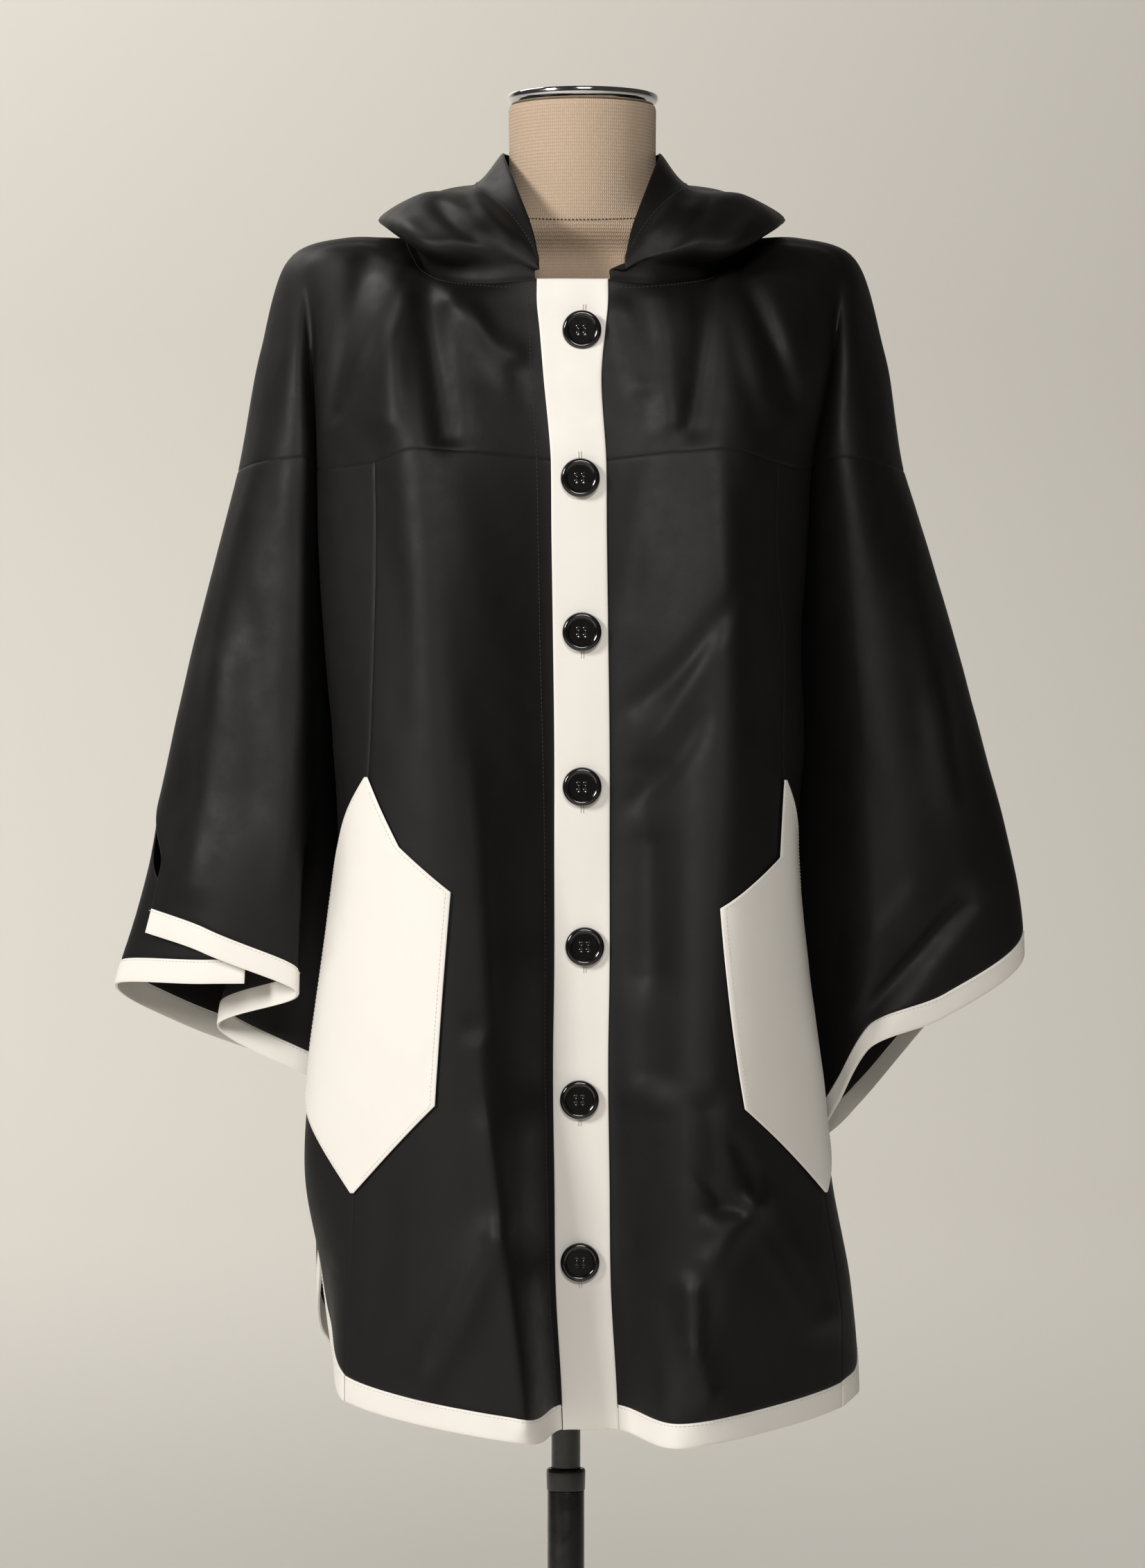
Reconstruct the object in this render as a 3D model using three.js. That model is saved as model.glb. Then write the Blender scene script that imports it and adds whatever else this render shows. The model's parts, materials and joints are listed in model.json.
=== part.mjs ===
import * as THREE from 'three';

// A hooded raincoat on a limbless dress form with a telescopic stand.
// Millimetres, +Z up, the front looks along -Y, origin at the middle of the base's underside.
// The suffixes _l and _r are the viewer's left (-X) and right (+X), seen from the front.

// Driving sizes
const CLOTH = 1.6;
const BAND_WALL = 2.4;
const BAND_WIDTH = 19;
const BAND_SLANT = 1.5;
const SEAM_GAP = 0.3;
const PLACKET_WIDTH = 41;
const PLACKET_CROWN = 0.5;
const PLACKET_WALL = 1.4;
const PLACKET_LIFT = 0.4;
const POCKET_WALL = 1.2;
const POCKET_LIFT = 1.6;
const HOOD_WALL = 1.6;
const HOOD_STAND = 11;
const HOOD_SEAT = 0.6;
const ARMHOLE_CLOSE = 9;
const VENT_TOP = 940;
const VENT_BLEND = 30;
const FLAP_REACH = 2;
const VENT_GAP = 8;
const VENT_SHORT = 0.45;
const CUFF_START = 0.03;
const EASED_GAP = 0.5;
const WIDE_GAP = 1.2;

const BUTTON_RADIUS = 14.5;
const BUTTON_THICK = 5;
const BUTTON_LIFT = 0.4;
const BUTTON_SIDES = 20;

const NECK_TOP = 1486;
const NECK_X = 12.5;
const FORM_SIDES = 26;
const CAP_RADIUS = 57.5;
const POLE_X = 0;
const TUBE_INNER_RADIUS = 11;
const TUBE_OUTER_RADIUS = 14;
const TUBE_CLEARANCE = 0.5;
const TUBE_TOP = 436;
const COLLAR_HEIGHT = 17;
const UPPER_TUBE_FOOT = 215;
const BASE_RADIUS = 180;
const BASE_THICK = 12;
const SOCKET_RADIUS = 24;
const SOCKET_HEIGHT = 46;
const FLANGE_RADIUS = 28;
const FLANGE_THICK = 5;

// Steps of the numeric searches, in column numbers
const RING_STEP = 0.02;
const EDGE_STEP = 0.05;
const HALVINGS = 40;

// Colours from the photograph
const BLACK_CLOTH = { color: 0x232121, roughness: 0.5, metalness: 0 };
const WHITE_CLOTH = { color: 0xe9e4db, roughness: 0.45, metalness: 0 };
const BLACK_GLOSS = { color: 0x0b0b0b, roughness: 0.15, metalness: 0 };
const LINEN = { color: 0xa88f74, roughness: 0.9, metalness: 0 };
const CHROME = { color: 0xc9cacb, roughness: 0.08, metalness: 1 };
const BLACK_STEEL = { color: 0x141414, roughness: 0.35, metalness: 0.6 };

// Column numbers round one half of the coat, from the centre front to the centre back.
// The body uses 0 to 5 and 12 to 15, the sleeve 5 to 12.
const CENTRE = 0;
const STAND = 1;
const PRINCESS = 3;
const EDGE = 4;
const VALLEY = 5;
const FOLD = 7;
const BULGE = 8;
const TIP = 9;
const BACK_VALLEY = 12;
const BACK_CENTRE = 15;

// Rows down the coat: the neck edge is -YOKE_ROWS, the yoke seam 0, the hem BODY_ROWS.
const YOKE_ROWS = 7;
const ARM_ROWS = 9;
const SKIRT_ROWS = 5;
const BODY_ROWS = ARM_ROWS + 2 + SKIRT_ROWS;

// Plan of the front, one row for each height.
// z, then x and y of the centre, bust ridge, princess seam, side edge and valley
const FRONT_LEFT = [
  [1290, [4, -114], [-98, -120], [-142, -104], [-182, -67], [-192, -42]],
  [1225, [9, -124], [-108, -140], [-141, -116], [-184, -70], [-186, -40]],
  [1150, [10, -122], [-102, -150], [-140, -122], [-183, -76], [-181, -26]],
  [1080, [11, -118], [-97, -154], [-141, -124], [-178, -80], [-176, -14]],
  [1000, [12, -114], [-90, -156], [-144, -124], [-171, -84], [-171, -6]],
  [920, [12, -111], [-80, -157], [-150, -122], [-168, -84], [-170, -3]],
  [840, [12, -109], [-71, -158], [-153, -119], [-178, -80], [-174, -3]],
  [760, [11, -108], [-62, -158], [-155, -114], [-189, -72], [-182, -6]],
  [680, [12, -108], [-52, -160], [-156, -108], [-194, -62], [-188, -8]],
  [600, [13, -108], [-41, -162], [-160, -100], [-180, -52], [-184, -8]],
  [530, [17, -108], [-32, -163], [-164, -92], [-174, -46], [-178, -8]],
  [480, [19, -108], [-27, -164], [-164, -90], [-172, -44], [-176, -8]],
];
const FRONT_RIGHT = [
  [1290, [4, -114], [108, -120], [152, -102], [188, -66], [198, -42]],
  [1225, [9, -124], [116, -138], [157, -110], [182, -68], [187, -40]],
  [1150, [10, -122], [115, -148], [155, -114], [178, -72], [181, -26]],
  [1080, [11, -118], [114, -152], [160, -112], [174, -74], [176, -14]],
  [1000, [12, -114], [113, -154], [160, -112], [177, -74], [173, -6]],
  [920, [12, -111], [111, -155], [163, -108], [171, -70], [171, -3]],
  [840, [12, -109], [108, -156], [168, -102], [178, -66], [175, -3]],
  [760, [11, -108], [104, -156], [177, -92], [189, -56], [183, -6]],
  [680, [12, -108], [102, -154], [190, -78], [199, -42], [192, -6]],
  [600, [13, -108], [106, -150], [202, -70], [214, -32], [202, -2]],
  [530, [17, -108], [90, -150], [206, -66], [221, -28], [206, 0]],
  [480, [19, -108], [84, -150], [206, -64], [221, -26], [206, 0]],
];
// Plan of the back, the same on both sides but for the sign of x.
// z, then x and y of the back valley, back edge, back ridge and centre back
const BACK = [
  [1290, [190, 46], [172, 75], [98, 107], [0, 109]],
  [1225, [186, 42], [176, 82], [98, 116], [0, 116]],
  [1150, [182, 40], [176, 87], [100, 121], [0, 114]],
  [1080, [177, 37], [176, 90], [102, 125], [0, 112]],
  [1000, [172, 34], [177, 92], [103, 129], [0, 113]],
  [920, [170, 32], [179, 94], [104, 133], [0, 116]],
  [840, [174, 31], [183, 95], [106, 137], [0, 119]],
  [760, [182, 30], [188, 95], [108, 141], [0, 122]],
  [680, [188, 28], [191, 92], [109, 144], [0, 125]],
  [600, [188, 26], [188, 88], [109, 146], [0, 128]],
  [530, [186, 26], [186, 86], [109, 148], [0, 130]],
  [480, [186, 26], [186, 86], [109, 149], [0, 131]],
];
// Plan of the sleeves.
// z, then x and y of the crease, fold, bulge, tip, back bulge and back fold
const SLEEVE_LEFT = [
  [1290, [-196, -48], [-203, -50], [-216, -34], [-231, 4], [-216, 37], [-201, 52]],
  [1225, [-189, -50], [-195, -62], [-222, -50], [-245, 4], [-222, 46], [-200, 62]],
  [1150, [-188, -50], [-197, -66], [-232, -54], [-264, 3], [-234, 48], [-203, 66]],
  [1080, [-187, -48], [-197, -69], [-240, -58], [-282, 2], [-246, 50], [-206, 68]],
  [1000, [-187, -44], [-197, -71], [-250, -61], [-300, 1], [-258, 50], [-209, 68]],
  [940, [-190, -40], [-197, -72], [-258, -62], [-313, 0], [-268, 50], [-212, 66]],
  [880, [-216, -28], [-198, -72], [-266, -64], [-328, 0], [-278, 48], [-215, 62]],
  [820, [-256, -10], [-199, -70], [-274, -62], [-346, 0], [-288, 46], [-217, 57]],
  [740, [-266, -4], [-200, -68], [-280, -60], [-352, 0], [-294, 42], [-218, 48]],
];
const SLEEVE_RIGHT = [
  [1290, [202, -48], [210, -50], [224, -34], [238, 4], [224, 37], [208, 52]],
  [1225, [191, -50], [204, -60], [228, -50], [252, 4], [228, 46], [204, 62]],
  [1150, [192, -50], [214, -64], [244, -54], [275, 3], [242, 48], [207, 66]],
  [1080, [194, -46], [222, -66], [260, -56], [296, 2], [256, 50], [211, 68]],
  [1000, [197, -42], [230, -66], [275, -56], [317, 1], [270, 50], [216, 68]],
  [940, [199, -38], [233, -64], [284, -54], [333, 0], [280, 50], [220, 66]],
  [880, [201, -34], [232, -61], [288, -50], [345, 0], [286, 50], [223, 62]],
  [820, [203, -30], [229, -58], [288, -46], [348, 0], [288, 48], [224, 58]],
  [740, [203, -24], [226, -55], [286, -44], [349, 0], [288, 46], [222, 50]],
];

// Yoke above the yoke seam, for the left half; the right half has the other sign of x - YOKE_X.
// One row of points for each column, from the chest over the shoulder to the neck edge.
const YOKE_X = 5;
const YOKE_COLUMNS = [
  // chest, shoulder, slope, neck edge
  [[4, -115, 1272], [1, -107, 1308], [-1, -102, 1328], [-1, -99, 1346]],
  [[-98, -121, 1280], [-85, -108, 1318], [-74, -98, 1335], [-58, -90, 1344]],
  [[-142, -104, 1292], [-129, -84, 1338], [-110, -73, 1348], [-88, -70, 1348]],
  [[-181, -66, 1300], [-168, -46, 1360], [-142, -40, 1368], [-103, -46, 1357]],
  [[-192, -42, 1302], [-190, -26, 1368], [-156, -23, 1378], [-109, -28, 1367]],
  [[-196, -46, 1302], [-194, -18, 1371], [-159, -14, 1381], [-112, -18, 1373]],
  [[-202, -46, 1302], [-200, -10, 1373], [-163, -6, 1384], [-114, -8, 1379]],
  [[-218, -28, 1302], [-205, -1, 1374], [-166, 3, 1386], [-116, 3, 1384]],
  [[-232, 4, 1301], [-208, 9, 1374], [-168, 12, 1387], [-117, 14, 1387]],
  [[-218, 34, 1302], [-205, 20, 1374], [-166, 21, 1386], [-114, 25, 1389]],
  [[-202, 50, 1302], [-198, 30, 1372], [-160, 31, 1385], [-107, 36, 1391]],
  [[-190, 46, 1303], [-188, 38, 1369], [-154, 40, 1383], [-100, 44, 1392]],
  [[-172, 74, 1302], [-150, 62, 1362], [-122, 57, 1379], [-86, 55, 1393]],
  [[-98, 106, 1300], [-88, 90, 1352], [-72, 78, 1375], [-52, 67, 1394]],
  [[-4, 108, 1300], [-4, 96, 1350], [-4, 84, 1374], [-4, 74, 1394]],
];

// Heights of the yoke seam at each of the sixteen columns
const YOKE_SEAM = [
  1210, 1210, 1218, 1209, 1206, 1211, 1213, 1216, 1214, 1209, 1211, 1212, 1210, 1212, 1214, 1214,
];
// Heights of the body's panel edge above the hem band: centre, placket edge, ridge, princess, edge, side
const HEM_FRONT = {
  l: [514, 514, 510, 534, 572, 640],
  r: [514, 514, 505, 526, 548, 636],
};
// The same at the back: side, back edge, back ridge, centre back
const HEM_BACK = { l: [640, 566, 508, 500], r: [636, 566, 508, 500] };
// Heights of the sleeve's panel edge on the front sheet: valley, crease, fold, bulge, tip
const CUFF = { l: [762, 806, 834, 858, 879], r: [716, 748, 793, 817, 862] };
// The same on the back sheet: fold, bulge, tip, back bulge, back fold, back valley
const CUFF_BACK = { l: [842, 841, 838, 805, 778, 762], r: [830, 838, 862, 818, 742, 716] };
// How far the armhole has closed, from open (0) to the side seam (1), by height above its end
const ARMHOLE = [
  [160, 0],
  [90, 0.3],
  [29, 0.66],
  [9, 0.78],
  [0, 1],
];

// Largest folds of the front, seen from the front: a line from x0, z0 to x1, z1 with a half
// width and a height, positive towards the viewer.
const FOLDS = [
  { x0: -106, z0: 1360, x1: -88, z1: 1228, width: 11, height: -9 },
  { x0: -122, z0: 1352, x1: -132, z1: 1240, width: 12, height: 6 },
  { x0: -84, z0: 1330, x1: -40, z1: 1288, width: 9, height: 5 },
  { x0: -150, z0: 1362, x1: -172, z1: 1250, width: 10, height: -6 },
  { x0: 128, z0: 1362, x1: 164, z1: 1262, width: 11, height: -7 },
  { x0: 104, z0: 1352, x1: 92, z1: 1236, width: 12, height: -6 },
  { x0: 40, z0: 1322, x1: 56, z1: 1268, width: 11, height: 5 },
  { x0: 70, z0: 1330, x1: 78, z1: 1240, width: 12, height: 5 },
  { x0: -64, z0: 780, x1: -29, z1: 505, width: 9, height: 6 },
  { x0: -52, z0: 640, x1: -104, z1: 535, width: 13, height: 7 },
  { x0: 62, z0: 980, x1: 66, z1: 760, width: 14, height: -8 },
  { x0: 104, z0: 735, x1: 108, z1: 662, width: 10, height: -10 },
  { x0: 140, z0: 664, x1: 190, z1: 575, width: 11, height: 6 },
  { x0: 140, z0: 664, x1: 108, z1: 622, width: 10, height: 6 },
  { x0: 92, z0: 600, x1: 102, z1: 520, width: 11, height: 7 },
  { x0: 298, z0: 882, x1: 226, z1: 800, width: 12, height: -8 },
  { x0: -262, z0: 1060, x1: -282, z1: 900, width: 16, height: 5 },
  { x0: 262, z0: 1120, x1: 292, z1: 960, width: 16, height: 5 },
];

// Pockets: six-sided patches about the princess seam, a row for each corner height.
// z, then the half width along the cloth on the centre side and on the side-seam side
const POCKETS = {
  l: [[977, 1.5, 1.5], [926, 36, 41], [893, 78, 66], [737, 72, 64], [670, 1.5, 1.5]],
  r: [[975, 1.5, 1.5], [918, 12, 41], [881, 74, 66], [734, 76, 64], [668, 1.5, 1.5]],
};
const POCKET_ROWS = [2, 2, 5, 3];
const POCKET_COLUMNS = 10;

// Buttons: height, and the offset across from the placket's middle
const BUTTONS = [
  [1307, 3],
  [1197, 1],
  [1084, 1],
  [970, 0],
  [852, 2],
  [739, -1],
  [619, -2],
];

// Hood, lying down behind the neck, left half: the yoke column that the station is sewn to, then
// the lobe, the crown, the dip and the face edge. The right half has the other sign of x - HOOD_X.
const HOOD_X = 12;
const HOOD_STATIONS = [
  [1.05, [-20, -101, 1353], [-20, -100, 1356], [-20, -99, 1359], [-20, -98, 1362]],
  [1.4, [-36, -98, 1362], [-33, -95, 1371], [-29, -90, 1377], [-25, -86, 1384]],
  [2, [-66, -99, 1372], [-60, -86, 1391], [-45, -74, 1399], [-34, -68, 1410]],
  [3, [-106, -84, 1374], [-88, -62, 1404], [-60, -50, 1412], [-41, -44, 1430]],
  [4, [-130, -50, 1388], [-108, -34, 1414], [-68, -26, 1420], [-46, -20, 1444]],
  [6.6, [-140, -8, 1398], [-110, -4, 1419], [-68, -2, 1424], [-47, 0, 1450]],
  [9.4, [-140, 40, 1402], [-108, 36, 1422], [-68, 30, 1430], [-46, 24, 1452]],
  [12.6, [-116, 98, 1394], [-90, 82, 1430], [-52, 62, 1436], [-34, 52, 1452]],
  [13.8, [-60, 136, 1360], [-48, 108, 1428], [-26, 82, 1438], [-12, 66, 1450]],
  [15, [12, 150, 1340], [12, 120, 1424], [12, 92, 1436], [12, 71, 1448]],
];

// The form: z, middle x, middle y, half width, half depth to the front, half depth to the back
const FORM_ROWS = [
  [690, 4, 0, 132, 78, 82],
  [700, 4, 0, 142, 86, 92],
  [760, 4, 0, 156, 92, 102],
  [830, 4, 0, 158, 92, 104],
  [910, 4, 0, 144, 86, 92],
  [1000, 5, 0, 122, 80, 78],
  [1080, 5, 0, 126, 92, 78],
  [1160, 5, 0, 138, 106, 84],
  [1215, 5, 0, 148, 110, 92],
  [1265, 5, 0, 160, 100, 96],
  [1310, 5, 2, 174, 84, 82],
  [1340, 5, 6, 181, 64, 58],
  [1356, 5, 9, 180, 46, 38],
  [1366, 6, 10, 162, 42, 34],
  [1376, 6, 11, 132, 46, 34],
  [1384, 7, 11, 106, 56, 38],
  [1392, 8, 10, 84, 60, 44],
  [1402, 10, 8, 68, 58, 50],
  [1416, 12, 6, 59, 56, 53],
  [1440, 12.5, 5, 56, 55, 55],
  [NECK_TOP, 12.5, 5, 56, 55, 55],
];

const side = { l: -1, r: 1 };

/** Interpolates rows of numbers with a smooth curve through each row. */
function smoothValue(keys, values, at) {
  const last = keys.length - 1;
  const rising = keys[last] > keys[0];
  let i = 0;
  while (i < last - 1 && (rising ? at > keys[i + 1] : at < keys[i + 1])) {
    i += 1;
  }
  const span = keys[i + 1] - keys[i];
  const t = THREE.MathUtils.clamp((at - keys[i]) / span, 0, 1);
  const slope = (j) => {
    const a = Math.max(0, j - 1);
    const b = Math.min(last, j + 1);
    return (values[b] - values[a]) / (keys[b] - keys[a]);
  };
  const t2 = t * t;
  const t3 = t2 * t;
  return (
    (2 * t3 - 3 * t2 + 1) * values[i] +
    (t3 - 2 * t2 + t) * span * slope(i) +
    (3 * t2 - 2 * t3) * values[i + 1] +
    (t3 - t2) * span * slope(i + 1)
  );
}

/** A value between the numbered columns of a list. */
function columnValue(list, at) {
  return smoothValue(list.map((_, i) => i), list, at);
}

/** Plan points of one table at height z. */
function planRow(table, z, mirror = 1) {
  const heights = table.map((row) => row[0]);
  return table[0].slice(1).map((_, c) => {
    const xs = table.map((row) => row[c + 1][0] * mirror);
    const ys = table.map((row) => row[c + 1][1]);
    return new THREE.Vector3(smoothValue(heights, xs, z), smoothValue(heights, ys, z), z);
  });
}

const memo = new Map();

/** Keeps a curve that is asked for many times. */
function remember(key, make) {
  if (!memo.has(key)) {
    memo.set(key, make());
  }
  return memo.get(key);
}

/** A smooth curve through points, read by the number of the point. */
function pointCurve(points, first = 0) {
  const curve = new THREE.CatmullRomCurve3(points, false, 'centripetal');
  return (at) => curve.getPoint(THREE.MathUtils.clamp((at + first) / (points.length - 1), 0, 1));
}

/** Where the placket's edge lies beside the centre front. */
function standPoint(s, centre) {
  return centre.clone().add(new THREE.Vector3((side[s] * PLACKET_WIDTH) / 2, PLACKET_CROWN, 0));
}

/** Ring of the body's cloth at height z: 0 centre front to 5 valley, 6 back valley to 9 centre back. */
function ringCurve(s, z) {
  return remember(`ring ${s} ${z.toFixed(4)}`, () => {
    const own = planRow(s === 'l' ? FRONT_LEFT : FRONT_RIGHT, z);
    const back = planRow(BACK, z, side[s]);
    const otherRidge = back[2].clone().setX(-back[2].x);
    const [centre, ...rest] = own;
    const stand = standPoint(s, centre);
    const before = standPoint(s === 'l' ? 'r' : 'l', centre);
    const curve = pointCurve([before, centre, stand, ...rest, ...back, otherRidge], 1);
    return (at) => (at < STAND ? centre.clone().lerp(stand, at) : curve(at));
  });
}

/** How far the armhole has closed at height z. */
function armholeClosed(s, z) {
  const above = z - (CUFF[s][0] - BAND_WIDTH - ARMHOLE_CLOSE);
  const last = ARMHOLE.length - 1;
  if (above >= ARMHOLE[0][0]) {
    return 0;
  }
  if (above <= ARMHOLE[last][0]) {
    return 1;
  }
  const i = ARMHOLE.findIndex((row) => row[0] <= above);
  const [h0, c0] = ARMHOLE[i];
  const [h1, c1] = ARMHOLE[i - 1];
  return c0 + ((above - h0) / (h1 - h0)) * (c1 - c0);
}

/** How far the vent of the left sleeve has parted the two sheets at height z. */
function ventOpen(s, z) {
  return s === 'l' ? THREE.MathUtils.smoothstep(VENT_TOP + VENT_BLEND - z, 0, 2 * VENT_BLEND) : 0;
}

/** Sleeve's plan at height z, columns 5 valley to 12 back valley, as the front or the back sheet. */
function sleeveCurve(s, z, sheet) {
  return remember(`sleeve ${s} ${sheet} ${z.toFixed(4)}`, () => {
    const table = s === 'l' ? SLEEVE_LEFT : SLEEVE_RIGHT;
    const ring = ringCurve(s, z);
    const closed = armholeClosed(s, z) / 2;
    const row = planRow(table, z);
    const curve = pointCurve([ring(VALLEY + closed), ...row, ring(VALLEY + 1 - closed)], -VALLEY);
    const open = ventOpen(s, z) * VENT_GAP;
    if (open === 0) {
      return curve;
    }
    return (at) => {
      const along = curve(at + RING_STEP).sub(curve(at - RING_STEP)).normalize();
      const outward = new THREE.Vector3(along.y, -along.x, 0).multiplyScalar(side[s]);
      const nearTip = THREE.MathUtils.smoothstep(at, FOLD, BULGE);
      const beforeTip = 1 - THREE.MathUtils.smoothstep(at, TIP, TIP + 0.6);
      return curve(at).addScaledVector(outward, (open / 2) * (sheet === 'front' ? nearTip : -beforeTip));
    };
  });
}

/** Height of the panel edge on the sleeve, front or back sheet. */
function cuffHeight(s, at, sheet) {
  return sheet === 'front' ? columnValue(CUFF[s], at - VALLEY) : columnValue(CUFF_BACK[s], at - FOLD);
}

/** Displacement of a point of the front by the folds. */
function foldRelief(point) {
  const facing = THREE.MathUtils.smoothstep(-point.y, 5, 45);
  if (facing === 0) {
    return 0;
  }
  let relief = 0;
  for (const fold of FOLDS) {
    const dx = fold.x1 - fold.x0;
    const dz = fold.z1 - fold.z0;
    const along = ((point.x - fold.x0) * dx + (point.z - fold.z0) * dz) / (dx * dx + dz * dz);
    const t = THREE.MathUtils.clamp(along, 0, 1);
    const far = Math.hypot(point.x - fold.x0 - t * dx, point.z - fold.z0 - t * dz) / fold.width;
    relief += fold.height * Math.exp(-far * far);
  }
  return relief * facing;
}

/** Moves a point of the cloth by the folds. */
function withFolds(point) {
  const moved = point.clone();
  moved.y -= foldRelief(point);
  return moved;
}

/** Height of body row k at column number at, on the ring's own numbers. */
function bodyHeight(s, ringAt, k) {
  const front = ringAt <= VALLEY + 0.5;
  const yokeAt = front ? Math.min(ringAt, VALLEY) : Math.max(ringAt, VALLEY + 1) + 6;
  const top = columnValue(YOKE_SEAM, yokeAt);
  const outward = front ? ringAt / VALLEY : (VALLEY + 4 - ringAt) / 3;
  const nearSide = THREE.MathUtils.smoothstep(outward, 0, 0.9);
  const underarm = THREE.MathUtils.lerp((CUFF.l[0] + CUFF.r[0]) / 2, CUFF[s][0], nearSide);
  if (k <= ARM_ROWS) {
    return THREE.MathUtils.lerp(top, underarm, k / ARM_ROWS);
  }
  const bandFoot = underarm - BAND_WIDTH;
  if (k <= ARM_ROWS + 1) {
    return THREE.MathUtils.lerp(underarm, bandFoot, k - ARM_ROWS);
  }
  const shut = bandFoot - ARMHOLE_CLOSE;
  if (k <= ARM_ROWS + 2) {
    return THREE.MathUtils.lerp(bandFoot, shut, k - ARM_ROWS - 1);
  }
  const edge = hemHeight(s, ringAt);
  if (k <= BODY_ROWS) {
    return THREE.MathUtils.lerp(shut, edge, (k - ARM_ROWS - 2) / SKIRT_ROWS);
  }
  const rise = hemHeight(s, ringAt + EDGE_STEP) - hemHeight(s, ringAt - EDGE_STEP);
  const slant = Math.hypot(1, rise / hemStep(s, ringAt));
  return edge - (k - BODY_ROWS) * BAND_WIDTH * Math.min(BAND_SLANT, slant);
}

/** Height of the body's panel edge at a ring number. */
function hemHeight(s, ringAt) {
  const front = HEM_FRONT[s];
  const back = HEM_BACK[s];
  if (ringAt <= VALLEY + 0.5) {
    const t = ringAt <= EDGE ? ringAt : EDGE + (ringAt - EDGE) / 1.5;
    return columnValue([...front, back[1]], Math.max(0, t));
  }
  const t = ringAt >= VALLEY + 2 ? ringAt - VALLEY - 1 : (ringAt - VALLEY - 0.5) / 1.5;
  return columnValue([front[4], ...back], Math.min(BACK_CENTRE - BACK_VALLEY, t) + 1);
}

/** Length of cloth across a tenth of a column at the hem. */
function hemStep(s, ringAt) {
  const ring = ringCurve(s, hemHeight(s, ringAt));
  return Math.max(1, ring(ringAt + EDGE_STEP).distanceTo(ring(ringAt - EDGE_STEP)));
}

/** Point of the body's cloth at ring number and row. */
function bodyPoint(s, ringAt, k) {
  const z = bodyHeight(s, ringAt, k);
  return withFolds(ringCurve(s, z)(ringAt));
}

/** Point of the sleeve's cloth at column and row; rows past the last are the cuff band. */
function sleevePoint(s, at, k, sheet) {
  const top = columnValue(YOKE_SEAM, at);
  const edge = cuffHeight(s, at, sheet);
  let z = THREE.MathUtils.lerp(top, edge, k / ARM_ROWS);
  if (k > ARM_ROWS) {
    z = edge - (k - ARM_ROWS) * BAND_WIDTH;
  }
  const open = sheet === 'front' ? ventOpen(s, z) : 0;
  const short = VENT_SHORT * open * THREE.MathUtils.smoothstep(at, FOLD, TIP);
  return withFolds(sleeveCurve(s, z, sheet)(at - short));
}

/** Point of the yoke's lower edge at column number at, on the panels below it. */
function yokeFoot(s, at, drop) {
  const z = columnValue(YOKE_SEAM, at) - drop;
  if (at <= VALLEY) {
    return ringCurve(s, z)(at);
  }
  if (at >= BACK_VALLEY) {
    return ringCurve(s, z)(at - 6);
  }
  return sleeveCurve(s, z, 'front')(at);
}

/** The yoke's own level at column number at. */
function yokeLevel(s, level) {
  return remember(`yoke ${s} ${level}`, () => {
    const points = YOKE_COLUMNS.map((column) => {
      const [x, y, z] = column[level];
      return new THREE.Vector3(s === 'l' ? x : 2 * YOKE_X - x, y, z);
    });
    const [centre, ...rest] = points;
    const stand = standPoint(s, centre);
    const before = standPoint(s === 'l' ? 'r' : 'l', centre);
    const last = points[points.length - 1];
    const after = points[points.length - 2].clone();
    after.x = 2 * last.x - after.x;
    const curve = pointCurve([before, centre, stand, ...rest, after], 1);
    return (at) => (at < STAND ? centre.clone().lerp(stand, at) : curve(at));
  });
}

/** Point of the yoke at column and row, where row 0 is the yoke seam and -YOKE_ROWS the neck edge. */
function yokePoint(s, at, k) {
  const rise = -k / YOKE_ROWS;
  const levels = [0, 1, 2, 3].map((level) => yokeLevel(s, level)(at));
  const path = pointCurve([yokeFoot(s, at, 60), yokeFoot(s, at, 0), ...levels], 1);
  return withFolds(path(rise * 4));
}

/** Point of the coat between the placket's edges, from the neck edge to below the hem. */
function placketPoint(at, k) {
  const s = at < 0 ? 'l' : 'r';
  const column = Math.min(STAND, Math.abs(at));
  return k < 0 ? yokePoint(s, column, k) : bodyPoint(s, column, k);
}

/** Numbers from a to b in n equal steps. */
function steps(a, b, n) {
  return Array.from({ length: n + 1 }, (_, i) => a + ((b - a) * i) / n);
}

/** Joins runs of column numbers, each [from, to, count]. */
function runs(...list) {
  const out = [];
  for (const [a, b, n] of list) {
    out.push(...steps(a, b, n).slice(out.length ? 1 : 0));
  }
  return out;
}

/** The surface's point, outward normal and unit tangents at u and v. */
function surfaceFrame(surface, u, v, sense) {
  const du = 0.02;
  const dv = 0.02;
  const along = surface(u + du, v).sub(surface(u - du, v));
  const down = surface(u, v + dv).sub(surface(u, v - dv));
  const normal = along.clone().cross(down).normalize().multiplyScalar(sense);
  return { point: surface(u, v), normal, along: along.normalize(), down: down.normalize() };
}

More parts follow.
